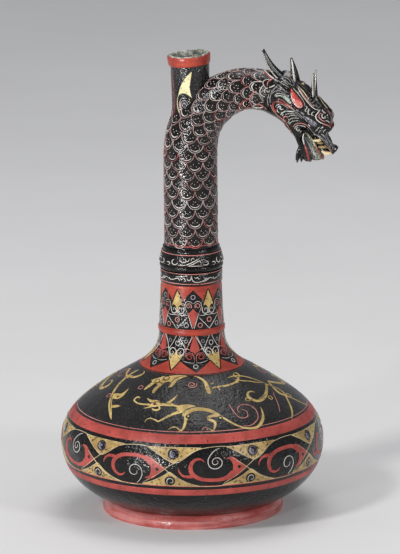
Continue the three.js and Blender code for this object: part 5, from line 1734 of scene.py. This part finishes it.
SKULL_LINES = (
    # brow
    ("cream", 1.0, 1.3, ((9.3, 26), (14, 26), (18, 26.1), (24, 25.5), (27, 25.2))),
    ("white", 0.9, 1.5, ((12.6, 24.8), (17, 23.8), (22, 23), (28, 22.6), (33, 22.6), (37, 23.4),
      (40, 25.4))),
    ("pink", 0.6, 0, ((13.6, 25.2), (18, 24.5), (23, 23.9), (29, 23.6), (35, 23.9))),
    # lids
    ("sage", 0.7, 1.2, ((10, 21.3), (17, 21.2), (25, 20.4), (29.5, 18.4))),
    (None, 0, 1.1, ((8, 18.8), (11.6, 15.4), (16, 12.3), (21, 10.6), (26, 10.9), (29.6, 13.6), (30.2, 17))),
    # cheek
    ("white", 0.9, 0.9, ((30.4, 19.6), (31.8, 17.9), (32.2, 15.6), (33.8, 16))),
    ("white", 1.0, 0.9, ((33.2, 19.4), (34.6, 17.4), (36.6, 15.6), (37.4, 16.6))),
    ("white", 0.7, 0.7, ((38, 20.6), (38, 18.6), (38.9, 17.4), (40.4, 18.6))),
    ("white", 0.7, 0, ((30.6, 11.8), (32.6, 12.2), (34.2, 12.4))),
    ("white", 0.6, 0, ((37.4, 12.4), (39.6, 13.2), (40.6, 12.6))),
    # the lilac stroke below the eye paints the purple-grey highlight of the cheek: a painted highlight
    ("lilac", 1.4, 0, ((22, 8.2), (27, 8.8), (32, 9.4), (37, 10.2))),
    ("lilac", 0, 2.6, ((21, 8.8), (28, 9.4), (35, 10.4), (42, 12.2), (48.6, 14.2))),
    ("faint", 0.7, 0, ((24, 8.4), (30, 9), (36, 10), (41, 10.4))),
    ("faint", 0.9, 0, ((35, 11.4), (39, 12.8), (43, 14.4), (47.4, 15))),
    ("white", 0.8, 0, ((38.6, 12), (40.4, 12.6))),
    ("faint", 0.8, 0, ((42, 12.4), (45, 13.4), (48, 13.2))),
    ("white", 0.9, 0, ((43.4, 9.4), (46, 9.4))),
    ("faint", 0.6, 0, ((24, 7), (27, 7.8), (31, 7.8), (36, 8.6))),
    # forehead panels
    ("faint", 0.6, 0.8, ((26.3, 24.6), (25.9, 26.6), (26.4, 28.6))),
    ("faint", 0.6, 0.8, ((31.6, 24.6), (31.2, 26.8), (31.9, 29))),
    ("faint", 0.6, 0.8, ((38, 25.4), (38.4, 27.4), (38.2, 29.2))),
    ("faint", 0.5, 0.9, ((10, 28), (17, 28.8), (24, 29.2), (30, 29.6), (38, 29.6))),
    ("cream", 0.7, 1.1, ((29, 34.2), (33, 33.4), (38, 32.6), (44, 32.4))),
    ("pink", 0.7, 1.0, ((45, 31.4), (48, 31.4), (51.4, 32))),
    # nostril
    ("white", 1.0, 1.2, ((40.4, 26.6), (41.4, 22.4), (42.2, 19.6), (45, 18.2), (48.6, 18.6), (51.6, 19.8))),
    ("pink", 1.1, 1.3, ((50.6, 19.4), (53.6, 21), (56.2, 22.4), (58.8, 22.6))),
    ("pink", 0.9, 0.9, ((43.4, 25.4), (43.4, 22.6), (45.6, 21.2), (49, 21.4), (51, 22.6))),
    ("white", 0.9, 0.9, ((45, 26), (45.6, 24), (47.6, 23.4), (49, 24.6), (47.6, 26))),
    ("white", 0.8, 0.8, ((51.2, 23.4), (52.6, 24.8), (54.8, 25))),
    ("white", 0.8, 0.8, ((41.8, 28), (44, 27.4), (46, 28.2))),
    ("white", 1.1, 0.9, ((48.2, 28.6), (48.9, 27.6))),
    ("faint", 0.6, 1.0, ((42, 30), (47, 30.6), (52, 29.4), (55.6, 26.8))),
    ("red", 1.3, 1.1, ((55.4, 26.6), (57, 25), (57.6, 23.4))),
    # snout
    ("white", 0.7, 0.8, ((53.6, 18.4), (53.9, 17), (53.2, 15.4))),
    ("sage", 0.6, 0.8, ((51.8, 15.6), (52, 13), (52.4, 10.2))),
    ("white", 0.5, 0.7, ((57.2, 18.4), (57, 16.4), (57.8, 14.8))),
    ("faint", 0.7, 0.9, ((55.2, 14.6), (55, 12.4), (56, 10.4))),
    ("faint", 0.8, 1.2, ((59, 12.2), (62, 12.8), (65, 12), (68, 11.4))),
    ("white", 0.6, 0, ((53, 7.4), (54.6, 8.2))),
    ("sage", 0.6, 0, ((57.6, 12.2), (59.4, 13.2), (61.8, 13.4))),
    ("faint", 0.6, 0, ((60.6, 10.6), (63, 11.2), (66, 10.6))),
    ("sage", 0.6, 0, ((63.4, 14), (66, 13.8), (69, 13))),
    ("faint", 0.6, 0, ((67.6, 10.6), (70, 10.8), (72.4, 10.4))),
    ("white", 0.6, 0, ((69.8, 12.2), (71, 12.4), (71.6, 11.6))),
    ("faint", 0.5, 1.5, ((46, 8.2), (52, 7.8), (57, 9), (62, 9.8), (67, 9.6), (72, 9.6), (76.4, 9.2))),
    # the white dash on the tip of the upper lip is a painted highlight
    ("white", 1.3, 0, ((75.4, 13.4), (76.4, 12.4))),
    ("faint", 0.7, 0.9, ((73, 12.4), (74.4, 11.4), (74.2, 9.8))),
    ("cream", 0.6, 0.8, ((57, 7.2), (59.2, 8.6), (61.4, 8.2))),
    ("pink", 0.6, 0.8, ((67.6, 6.8), (69.8, 8.2), (73, 8.6), (76, 7.6), (77, 5.4))),
    # temple
    ("faint", 0.7, 1.5, ((-4, 22.4), (-0.4, 24.6), (3, 25.4), (7, 25))),
    ("lilac", 1.2, 1.5, ((5.4, 24.6), (7.4, 25), (8.4, 23.6), (8.6, 21.6))),
    ("faint", 0.7, 1.3, ((-4, 18.6), (0, 20.4), (4, 21.2), (8, 22))),
    ("faint", 0.9, 1.3, ((-4, 15.6), (0.6, 16.6), (4, 17.8), (7, 18.6))),
    ("faint", 0.8, 1.2, ((-2, 12.4), (3, 13.6), (7, 14.2), (10, 14.6))),
    ("white", 0.6, 0.8, ((11.4, 12.6), (12.6, 13.6), (13, 12.4))),
    ("white", 1.5, 0, ((26.6, 30.8), (28.4, 31.2), (30.4, 30.4), (33, 30.2))),
    ("faint", 0.6, 0, ((27.4, 29.4), (28.6, 27.6), (28, 25.6))),
    ("faint", 0.6, 0, ((34.4, 29), (34.8, 27), (34.2, 25.4))),
    ("white", 0.7, 0, ((35, 26), (37.2, 26.2))),
    ("faint", 0.8, 0, ((-1.6, 22.6), (1.6, 23.6), (5, 23.2))),
    ("faint", 0.8, 0, ((-3, 20.2), (1, 19.2), (5.4, 19.8))),
    ("faint", 0.8, 0, ((1.4, 11), (4.6, 13), (9, 13.6))),
    ("faint", 0.9, 0.9, ((-0.6, 12), (-0.4, 8), (1, 3), (3.4, -0.6), (6.6, -3.4))),
    ("faint", 0.7, 0.8, ((1, -1.4), (3.8, -4.2), (7.4, -6.4))),
    ("white", 0.9, 0, ((0.6, -17.4), (2.6, -15.6), (4.4, -13.2), (5.6, -11.4))),
    ("pink", 0.7, 0, ((-0.6, -14.4), (1.6, -12), (5, -10.6), (9, -9.8))),
)
SPOUT_END_LINES = (
    ("white", 1.1, 0, ((-21.4, 14.8), (-20, 13.4), (-16, 12.8), (-11, 13.2), (-6, 14.2), (-3, 15))),
    ("faint", 0.8, 0, ((-20, 12), (-19.6, 9.6), (-17.4, 8))),
    ("white", 1.3, 0, ((-2.6, 10.6), (-3.2, 7.6), (-4.2, 5.2))),
    ("white", 0.9, 0, ((-8.9, 3), (-8.6, -1), (-6.6, -4), (-3.4, -4.8), (-0.4, -3.4))),
    ("faint", 0.8, 0, ((-7, 3.4), (-7, 0), (-5, -2.4), (-2.6, -2.6), (-0.6, -1))),
    ("white", 0.8, 0, ((-4.8, 4), (-5.6, 1.4), (-4.4, -0.6), (-2.6, -0.6))),
    ("white", 0.8, 0, ((-2.4, 4.4), (-1.6, 2.4), (-2.4, 1.2), (-3.4, 1.8))),
    ("pink", 0.8, 0, ((-8, 12), (-8.8, 9.4), (-8.2, 6.8), (-6.4, 5))),
    ("pink", 0.9, 0, ((-9.4, -6), (-9.8, -10), (-8.6, -14), (-5.4, -17), (-2, -17.6))),
    ("faint", 0.7, 0, ((-9.6, -6), (-6, -6.6), (-2.6, -6), (0, -5))),
    ("faint", 0.7, 0, ((-7, -10), (-6.6, -13), (-4.6, -15.2), (-2, -15.4))),
)
MANE_LINES = (
    # mane, first curl
    ("faint", 0.9, 1.2, ((1.6, 3.4), (1.8, 7), (4, 10.2), (8, 11.8), (12, 12.1), (16, 12))),
    ("sage", 0.7, 0.9, ((4.2, 4), (4.6, 7), (6.6, 9.4), (10, 10.9), (15, 11))),
    ("sage", 1.7, 1.4, ((6, 4.4), (7.4, 7.6), (10.4, 9.4), (14.4, 9.9), (19, 10.2))),
    ("white", 1.0, 0, ((5.2, 4), (5.8, 5.6))),
    # second curl
    ("pink", 1.4, 1.2, ((26, 8.6), (23, 7.8), (20, 7), (16.6, 6))),
    ("red", 2.0, 1.7, ((17.6, 6), (13.6, 4.6), (10.2, 2.4), (8.8, -0.8), (10, -3.6), (13, -5),
      (16.6, -5.2))),
    ("pink", 0.7, 0.9, ((8.6, 4.6), (12, 6.2), (16, 7.2), (21, 8.2))),
    ("faint", 0.8, 1.0, ((12.6, -2.6), (12.2, 0.4), (13.8, 3), (17, 4.6), (21, 5.4))),
    ("white", 0.9, 0.9, ((14.4, -1.8), (14.4, 1), (16, 1.2), (16.4, -0.4), (18, 0.4), (18.4, 1.6))),
    ("sage", 0.8, 0.9, ((18.6, -3.4), (16.4, -3.6), (15.2, -2.6))),
    # third curl
    ("sage", 1.4, 1.2, ((26.6, 7), (23.6, 4.4), (21.2, 1.6), (20.6, -1.2), (21, -3.6))),
    ("white", 1.0, 0, ((22, -1.6), (22.7, -3))),
    ("white", 0.6, 0.9, ((29, 6.8), (26, 4), (24, 1.2), (23.6, -0.6))),
    ("pink", 0.9, 1.0, ((27.6, -0.4), (25.2, -1), (24.4, -3), (26, -4.6), (28.4, -4))),
    ("sage", 0.7, 0.9, ((31.4, 6.8), (28.6, 4.6), (26.8, 2), (27, 0.4))),
    ("white", 0.7, 0.9, ((33.8, 6.6), (31.4, 4.2), (29.4, 1), (30, -1.8))),
    ("sage", 0.9, 1.0, ((35, 4.8), (33, 2), (31.8, -1.4), (33, -3.8))),
    # fourth curl
    ("pink", 0.8, 1.1, ((47, 8), (43, 7.6), (39.6, 6), (37, 3.4), (35.8, 0), (36.4, -2.6))),
    ("white", 0.7, 0.9, ((44, 6), (41, 4.6), (38.6, 2.2), (37.6, -0.6), (38.4, -2.4))),
    ("white", 0.8, 0.8, ((39.8, 0.6), (39, -1), (40, -1.8), (42, -1.4), (42.4, 0.4))),
    ("white", 0.9, 0.7, ((43.8, 0.8), (44, -1))),
    ("white", 0.6, 0.7, ((40.2, 3.6), (41.6, 4.4))),
    ("faint", 0.6, 0.9, ((52, 4.6), (49, 5.4), (46, 6.4))),
    ("pink", 0.7, 1.1, ((8.4, -4.4), (13, -6), (19, -6.2), (25, -5.2), (31, -5.2), (36, -6.4), (41, -7.2))),
)


# Lumps: place (u, v, w), half the length, height and depth, and tilt in degrees

SKULL_LUMPS = (
    (48.2, 22.2, 9.2, 8, 7.6, 4.4, 0),  # nostril
    (23, 24, 12.6, 15.5, 3.4, 3.9, 4),  # brow
    (75.4, 10.2, 4.2, 3.4, 2.2, 2.2, 20),  # tip of the upper lip
    (65, 9.4, 7.4, 7, 2.4, 2.4, 0),  # upper lip
    (57.8, 19.4, 5.6, 3.8, 4.6, 4, 0),  # nose
    (2, 20.6, 11.4, 9, 4.4, 4.4, 20),  # temple
    (6, 13, 14.6, 7.6, 5.6, 3.2, 0),  # back of the cheek
)
MANE_LUMPS = (
    (8, 8.2, 15.4, 9.6, 5.4, 4.4, -18), (17, 1.6, 15.6, 11, 6, 4.8, -16),
    (29, -0.4, 14, 10.4, 5.6, 4.6, -20), (40, -1.2, 12, 8.6, 5, 4.2, -26),
)


def base_skull():
    form = Form()
    form.oval(SKULL_CUTS)
    for side in SIDES.values():
        for lump in SKULL_LUMPS:
            form.egg(side, *lump)
    form.strand(1, (4, 22.6, 0, 2.4), (14, 24.6, 0, 2.6), (24, 26.8, 0, 2.6), (34, 29, 0, 2.4),
                (44, 30, 0, 2), (50, 29, 0, 1.6))
    return form


def base_mane(side):
    form = Form()
    for lump in MANE_LUMPS:
        form.egg(side, *lump)
    return form


def base_jaw():
    form = Form()
    form.oval(JAW_CUTS)
    for side in SIDES.values():
        form.strand(side, (44, 0.4, 10.6, 1.2), (48, -0.2, 11.2, 1.5), (50.6, -3, 11.4, 1.6),
                    (55.4, -5.8, 10.8, 1.6), (60.6, -8.2, 9.8, 1.7), (65.6, -11, 8.4, 1.7),
                    (68.8, -13, 5.6, 1.6), (69.8, -13.8, 1.6, 1.4), (69.9, -13.9, -0.5, 1.4))
        form.strand(side, (44, -6, 10.6, 1.4), (50, -8.4, 10.2, 1.5), (56, -11, 9, 1.4),
                    (61, -13.6, 7.4, 1.2))
    form.egg(1, 65, -15.6, 0, 4.4, 2.4, 5, 0)
    return form


def base_tongue():
    form = Form()
    form.oval(TONGUE_CUTS, corners=28)
    for side in SIDES.values():
        form.strand(side, (44, 0.8, 5.8, 1), (52, 1.6, 6.8, 1.2), (60, 0.8, 6.6, 1.3), (66, -1.2, 5.6, 1.2),
                    (72, -2.6, 4.2, 1.1), (76, -3.8, 1.6, 1))
    return form


class Tine:
    """A tapering, bowed horn, ear or spike of the head."""

    def __init__(self, side, u, v, w, tip_u, tip_v, tip_w, bend, base, tip, flat):
        self.side, self.root, self.end = side, (u, v, w), (tip_u, tip_v, tip_w)
        self.bend, self.base, self.tip, self.flat = bend, base, tip, flat
        self.length = math.dist((u, v), (tip_u, tip_v))

    def radius(self, share):
        return self.tip + (self.base - self.tip) * (1 - max(share, 0)) ** 0.9

    def point(self, share, turn, lift=0.0):
        (u0, v0, w0), (u1, v1, w1) = self.root, self.end
        along_u, along_v = (u1 - u0) / self.length, (v1 - v0) / self.length
        bow = self.bend * math.sin(math.pi * share)
        reach = self.radius(share) * (1 + 0.09 * math.cos(3 * turn + 2.4 * share)) + lift
        across = bow + reach * math.cos(turn)
        return head_point(u0 + (u1 - u0) * share + along_v * across,
                          v0 + (v1 - v0) * share - along_u * across,
                          self.side * (w0 + (w1 - w0) * share + self.flat * reach * math.sin(turn)))

    def wall(self, degrees):
        """A sheet along the tine: x in millimetres from the root, y round it."""
        def place(x, y, lift):
            share = x / self.length
            return self.point(share, math.radians(degrees) + y / self.radius(share), lift)
        return place

    def body(self, corners=22, rows=30):
        form = Form()
        rings = [[self.point(-0.12 + 1.12 * i / rows, FULL * k / corners) for k in range(corners)]
                 for i in range(rows + 1)]
        for shrink in (0.75, 0.35):
            middle = [sum(p[i] for p in rings[rows]) / corners for i in range(3)]
            step = [(rings[rows][0][i] - rings[rows - 1][0][i]) * 0.5 for i in range(3)]
            rings.append([
                tuple(m + (p[i] - m) * shrink + step[i] * (1 - shrink) for i, m in enumerate(middle))
                for p in rings[rows]
            ])
        form.rings(rings)
        return form


def painted_tine(paint, tine, degrees, start, end, width, end_width):
    """A line that runs up a tine and narrows."""
    steps = 16
    shares = [start + (end - start) * i / steps for i in range(steps + 1)]
    paint.stroke(tine.wall(degrees), [
        (share * tine.length, 0.25 * math.sin(5 * share + degrees), width + (end_width - width) * i / steps)
        for i, share in enumerate(shares)
    ])


EYE_RISE, EYE_SUNK = 3.2, 0.9


def eye_form(tree, side, loop):
    """A domed piece of the chart, standing out of the form; the chart's loop is its rim."""
    flat, triangles, border = divided(loop, 0.8)
    depths = [min(math.dist(spot, p) for p in loop) for spot in flat]
    deepest = max(depths)
    form = Form()
    for top in (True, False):
        for (x, y), depth in zip(flat, depths):
            where, out = seen(tree, side, x, y)
            share = min(depth / (deepest * 0.95), 1)
            lift = EYE_RISE * math.sqrt(share * (2 - share)) if top else 0
            form.points.append(tuple(where + out * (lift - EYE_SUNK)))
    form.faces = two_sided(0, len(flat), triangles, border)
    return form


def raised_line(tree, side, radius, knots):
    """A ridge's path on the form, sunk a little and thinner at both ends."""
    path = []
    for u, v in flowing(knots, 1.3):
        where, out = seen(tree, side, u, v)
        path.append((where - out * radius * 0.3, radius))
    for i in (0, -1):
        path[i] = (path[i][0], radius * 0.7)
    return path


def swelling(width, path):
    """A painted line that is widest at its middle."""
    last = len(path) - 1
    return [(x, y, width * (0.45 + 0.55 * math.sin(math.pi * (0.12 + 0.76 * i / last)) ** 0.7))
            for i, (x, y) in enumerate(path)]


LINE_PAINTS = {"white": WHITE, "cream": CREAM, "pink": PINK, "red": RED_STROKE, "lilac": LILAC,
               "sage": SAGE, "faint": FAINT, "eye_highlight": EYE_HIGHLIGHT_PAINT}


def make_head():
    paint = {name: Paint() for name in LINE_PAINTS}
    skull, jaw = base_skull(), base_jaw()
    manes = {side: base_mane(side) for side in SIDES.values()}
    bare = tree_of(*(grown(form, 0.9) for form in (skull, jaw, *manes.values())))
    for lines, forms in ((SKULL_LINES, {-1: skull, 1: skull}), (MANE_LINES, manes)):
        for _, _, radius, knots in lines:
            for side in SIDES.values() if radius else ():
                forms[side].string(raised_line(bare, side, radius, knots), 10)
    throat = Form()
    throat.oval(THROAT_CUTS, corners=28)
    skins = {"dragon_skull": grown(skull, cutter=throat), "lower_jaw": grown(jaw, cutter=throat)}
    for name, side in SIDES.items():
        skins[name + "_cheek_mane"] = grown(manes[side])
    for name, (points, faces) in skins.items():
        piece(name, points, faces, "head_lacquer", HEAD, replaced=[name])
    tongue = grown(base_tongue(), 0.55)
    piece("tongue", *tongue, "tongue_paint", TONGUE, replaced=["tongue"])
    spout_end = tube_mesh(SPOUT.length - 30, SPOUT.length, lift=SCALE_RAISED)
    tree = tree_of(*skins.values(), tongue, spout_end)
    for colour, width, _, knots in SKULL_LINES + SPOUT_END_LINES + MANE_LINES:
        for side in SIDES.values() if width else ():
            path = flowing(on_side(side, knots), 0.8)
            paint[colour].stroke(head_wall(tree, side), swelling(width, path))
    make_head_fields(paint, tree)
    make_eyes(paint, tree)
    for side in SIDES.values():
        for colour, *knots in MOUTH_LINES:
            paint[colour].line(head_wall(tree, side), *on_side(side, knots), step=0.8)
    make_teeth()
    make_tines(paint)
    make_beard()
    for name, material in LINE_PAINTS.items():
        paint[name].make("head_lines_" + name, "head_lacquer", material)


HEAD_FIELDS = (
    # the lilac field on the cheek paints its purple-grey highlight: a painted highlight
    ("lilac", ((36, 10), (41, 10.4), (46, 11), (49.4, 12.4), (49.2, 15.6), (45, 15.4), (40, 13.2),
               (37, 11.8))),
    ("sage", ((9.6, 8.6), (13, 8.8), (18.6, 9.4), (19.4, 11), (15, 11.6), (11, 10.8))),
)


def make_head_fields(paint, tree):
    for colour, loop in HEAD_FIELDS:
        for side in SIDES.values():
            shape = on_side(side, flowing(loop, 1.2, closed=True))
            paint[colour].field(head_wall(tree, side), shape, 0, 1.0)


EYE_LOOP = ((9, 19.6), (13, 20.1), (19, 19.9), (25, 19.3), (28.2, 17.6), (28.8, 15), (27.4, 12.6),
            (24, 11.6), (20, 12), (16, 13.5), (12.4, 16.2))
# the white line under the eye is partly the painted lid line and partly a painted highlight
LOWER_LID_AND_HIGHLIGHT = ((12, 17, 0.3), (15, 14.9, 0.9), (19, 13.1, 1.2), (23, 12.6, 1.3), (26, 13.3, 1.5),
             (27.6, 15.2, 1.2), (27.2, 17.2, 0.4))
UPPER_LID = ((10.4, 19.3, 0.3), (15, 19.2, 0.7), (20, 19, 0.6), (25, 18.3, 0.3))
# the pale pink patch low on the eye is a painted highlight
EYE_HIGHLIGHT_PATCH = ((19.4, 14.2), (23, 13.4), (26.8, 14.6), (27, 16.6), (24.4, 17.8), (21, 17.2))


def make_eyes(paint, tree):
    for name, side in SIDES.items():
        form = eye_form(tree, side, flowing(EYE_LOOP, 0.8, closed=True))
        piece(name + "_eye", form.points, form.faces, "eye_lacquer", EYE, replaced=[name + "_eye"])
        wall = head_wall(tree_of((form.points, form.faces)), side)
        # the white line under the eye: partly the lid line, partly a painted highlight
        paint["white"].line(wall, *on_side(side, LOWER_LID_AND_HIGHLIGHT), step=0.8)
        paint["pink"].line(wall, *on_side(side, UPPER_LID), step=0.8)
        # the pink patch on the eye is a painted highlight
        paint["eye_highlight"].field(wall, on_side(side, flowing(EYE_HIGHLIGHT_PATCH, 0.8, closed=True)), 0, 0.9)


# Lines of the lips and the tongue, with (u, v, width) knots, and the teeth, with (u, v, w, radius)

MOUTH_LINES = (
    ("white", (47, 0.6, 0.5), (48, -0.6, 1.2), (50, -3, 1.3), (54, -5.2, 1.2), (59, -7, 0.5)),
    ("red", (54.6, -5.4, 0.6), (58, -6.8, 1.9), (62, -8.6, 2.3), (66, -10.8, 2.1), (68.6, -12.6, 1.0)),
    ("pink", (60, 3, 0.6), (64, 1.4, 0.9), (69, 0.4, 0.9), (75, -0.6, 0.5)),
    ("red", (62, 0.9, 0.6), (67, -0.6, 1.2), (72, -1.4, 1.2), (76, -2.2, 0.6)),
    ("cream", (47.4, 0.4, 0.5), (48.4, 2.4, 0.9), (52, 3.6, 0.9), (57, 2.6, 0.8), (62, 0.9, 0.4)),
    ("sage", (50, -1.4, 0.5), (54, -1.6, 1.2), (60, -3.2, 1.2), (65, -5.4, 0.5)),
    ("lilac", (50.6, -2.6, 0.5), (55, -4, 1.2), (60, -5.4, 1.3), (65, -8.4, 1.2), (68, -10.6, 0.5)),
    ("lilac", (50, -0.2, 0.5), (55, -0.6, 1.1), (59, -1.6, 0.6)),
    ("lilac", (60, -3.8, 0.5), (65, -6.2, 1.1), (70, -7.6, 1.0), (72.4, -9, 0.5)),
    ("cream", (58, -4.6, 0.4), (62, -6.2, 0.8), (66, -7.4, 0.6)),
    ("white", (61, -1.6, 0.4), (64, -3.4, 0.8), (67, -4.4, 0.8), (70, -4.6, 0.4)),
)
PALE_TEETH = (
    ((61.8, 8, 8.2, 1.0), (60.4, 5.6, 8.5, 1.4), (57.8, 2.6, 8.5, 0.9)),
    ((76.6, 6.6, 5.2, 1.0), (75.4, 4.4, 6, 1.8), (73, 2.4, 6.4, 1.7), (70.4, 1.3, 6.6, 0.9)),
)
GILT_TEETH = (
    ((65, 8, 7.8, 0.8), (63.8, 6, 8.1, 1.1), (61.8, 3.8, 8.1, 0.6)),
    ((69.8, 8, 6.9, 0.9), (68, 5.2, 7.4, 1.3), (65.2, 2.2, 7.6, 0.8)),
)
GUM = (((57.5, 4.6, 6, 2), (64, 4.4, 5.8, 2), (70, 4.2, 5, 1.9), (75.5, 4.2, 3.6, 1.6)),)
UPPER_MOUTH = (
    ("_upper_teeth", PALE_TEETH, "tooth_gold", IVORY),
    ("_gilt_teeth", GILT_TEETH, "tooth_gold", GILT),
    ("_gum", GUM, "head_lacquer", HEAD),
)


def make_teeth():
    for name, side in SIDES.items():
        for label, strands, slot, material in UPPER_MOUTH:
            form = Form()
            for knots in strands:
                form.strand(side, *knots, step=0.8)
            own_node = [name + label] if strands is PALE_TEETH else []
            piece(name + label, form.points, form.faces, slot, material, replaced=own_node)


# Horn, ear and spike: root and tip (u, v, w), bend, radius at base and tip, and flatness

TINES = {
    "horn": (-1, 17, 5, -32.3, 21.2, 3.4, -2.2, 3.4, 0.8, 0.8),
    "ear": (8, 22.6, 8.4, -10.4, 35.4, 1.8, 0.7, 3.8, 0.7, 0.7),
    "nose_spike": (29.5, 27, 6.2, 12.4, 43.2, 8, -0.2, 2.4, 0.5, 0.9),
}
# Lines on them: degrees round the tine, start and end along it, width at start and end
TINE_LINES = {
    "horn": (("white", 118, 0.05, 0.98, 1.4, 0.8), ("faint", 55, 0.08, 0.9, 0.7, 0.4),
             ("sage", 20, 0.08, 0.85, 0.6, 0.3), ("faint", 290, 0.08, 0.9, 0.9, 0.5)),
    "ear": (("white", 62, 0.12, 0.98, 2.4, 1.2), ("faint", 130, 0.12, 0.9, 0.8, 0.4),
            ("faint", 290, 0.12, 0.95, 1.2, 0.6)),
    "nose_spike": (("white", 92, 0.1, 0.98, 1.7, 0.8), ("faint", 30, 0.15, 0.9, 0.6, 0.4),
                   ("white", 275, 0.1, 0.98, 1.5, 0.7)),
}


def make_tines(paint):
    for name, side in SIDES.items():
        for label, sizes in TINES.items():
            tine = Tine(side, *sizes)
            form = tine.body()
            piece(name + "_" + label, form.points, form.faces, "head_lacquer", HEAD,
                  replaced=[name + "_" + label])
            for colour, *line in TINE_LINES[label]:
                painted_tine(paint[colour], tine, *line)


# The beard's tufts: root and tip (u, v, w) and thickness, one in the middle and three at each side

MIDDLE_TUFT = (60, -13, 0.0, 63.6, -24.6, 0.4, 2.6)
SIDE_TUFTS = (
    (59, -12.6, 3.0, 61, -22.6, 4.0, 2.3), (63, -14.4, 2.0, 65.6, -20.6, 2.6, 2.0),
    (57, -11.4, 4.6, 57.6, -18.6, 5.6, 1.9),
)


def make_beard():
    form = Form()
    tufts = [(1, MIDDLE_TUFT)] + [(side, tuft) for tuft in SIDE_TUFTS for side in (1, -1)]
    for i, (side, (u, v, w, tip_u, tip_v, tip_w, thick)) in enumerate(tufts):
        bow = 1.6 + 0.3 * (i % 3)
        long, down = tip_u - u, tip_v - v
        form.strand(side, (u, v, w, thick), (u + long * 0.3 - bow, v + down * 0.35, w, thick * 0.85),
                    (u + long * 0.6 - bow * 0.6, v + down * 0.7, (w + tip_w) / 2, thick * 0.6),
                    (tip_u, tip_v, tip_w, thick * 0.22), step=1.0)
    points, faces = grown(form, 0.5, 2)
    piece("chin_beard", points, faces, "head_lacquer", HEAD, replaced=["chin_beard"])


make_head()


# Floor, light and camera


FLOOR_REACH = 12.0
ROOM_COLOUR, ROOM_STRENGTH = (0.9, 0.93, 1, 1), 0.33
LENS = 433.2
CAMERA_PITCH, CAMERA_ROLL = math.radians(13.53), math.radians(0.35)
BOTTLE_MIDDLE = (0, 0, 0.2)
# Each lamp's name, place, what it is aimed at, size in metres and power in watts
LAMPS = (
    ("key", (-1.9, -2.76, 2.8), BOTTLE_MIDDLE, (0.55, 0.55), 66),
    ("low", (-1.7, -3.4, 0.34), (0, 0, 0.28), (0.18, 0.5), 76),
    ("fill", (3.0, -2.1, 1.6), BOTTLE_MIDDLE, (0.6, 0.6), 34),
    ("top", (0.1, 0.5, 2.2), BOTTLE_MIDDLE, (1.2, 1.2), 16),
)


def make_stage():
    mesh = bpy.data.meshes.new("floor")
    far = FLOOR_REACH
    corners = [(-far, -far, 0), (far, -far, 0), (far, far, 0), (-far, far, 0)]
    mesh.from_pydata(corners, [], [(0, 1, 2, 3)])
    floor = bpy.data.objects.new("floor", mesh)
    bpy.context.scene.collection.objects.link(floor)
    material = bpy.data.materials.new("floor_paper")
    material.use_nodes = True
    tree = material.node_tree
    shader = tree.nodes["Principled BSDF"]
    tone = mixed(tree, spread(tree, grain(tree, 3.0), 0.3, 0.7), (0.76, 0.75, 0.74), (0.8, 0.79, 0.78))
    tree.links.new(tone, shader.inputs["Base Color"])
    shader.inputs["Roughness"].default_value = 0.85
    shader.inputs["Specular IOR Level"].default_value = 0.05
    mesh.materials.append(material)


def area_light(name, place, aim, size, power):
    light = bpy.data.lights.new(name, "AREA")
    light.shape = "RECTANGLE"
    light.size, light.size_y = size
    light.energy = power
    obj = bpy.data.objects.new(name, light)
    obj.location = place
    obj.rotation_euler = (Vector(aim) - Vector(place)).to_track_quat("-Z", "Y").to_euler()
    obj.visible_camera = False
    bpy.context.scene.collection.objects.link(obj)


def make_light():
    world = bpy.data.worlds.new("room")
    world.use_nodes = True
    background = world.node_tree.nodes["Background"]
    background.inputs["Color"].default_value = ROOM_COLOUR
    background.inputs["Strength"].default_value = ROOM_STRENGTH
    bpy.context.scene.world = world
    for lamp in LAMPS:
        area_light(*lamp)


def make_camera():
    """A long lens, about 6 m away and 1.6 m up, as the ovals of foot, collar and mouth show."""
    camera = bpy.data.cameras.new("camera")
    camera.sensor_width = 36
    camera.lens = LENS
    camera.clip_start, camera.clip_end = 0.1, 50
    obj = bpy.data.objects.new("camera", camera)
    obj.location = in_frame(*VIEWER)
    obj.rotation_mode = "XYZ"
    obj.rotation_euler = (math.pi / 2 - CAMERA_PITCH, 0, HEAD_SIDE_TURN)
    obj.rotation_euler.rotate_axis("Z", -CAMERA_ROLL)
    bpy.context.scene.collection.objects.link(obj)
    bpy.context.scene.camera = obj


make_stage()
make_light()
make_camera()

scene = bpy.context.scene
scene.view_settings.view_transform = "Standard"
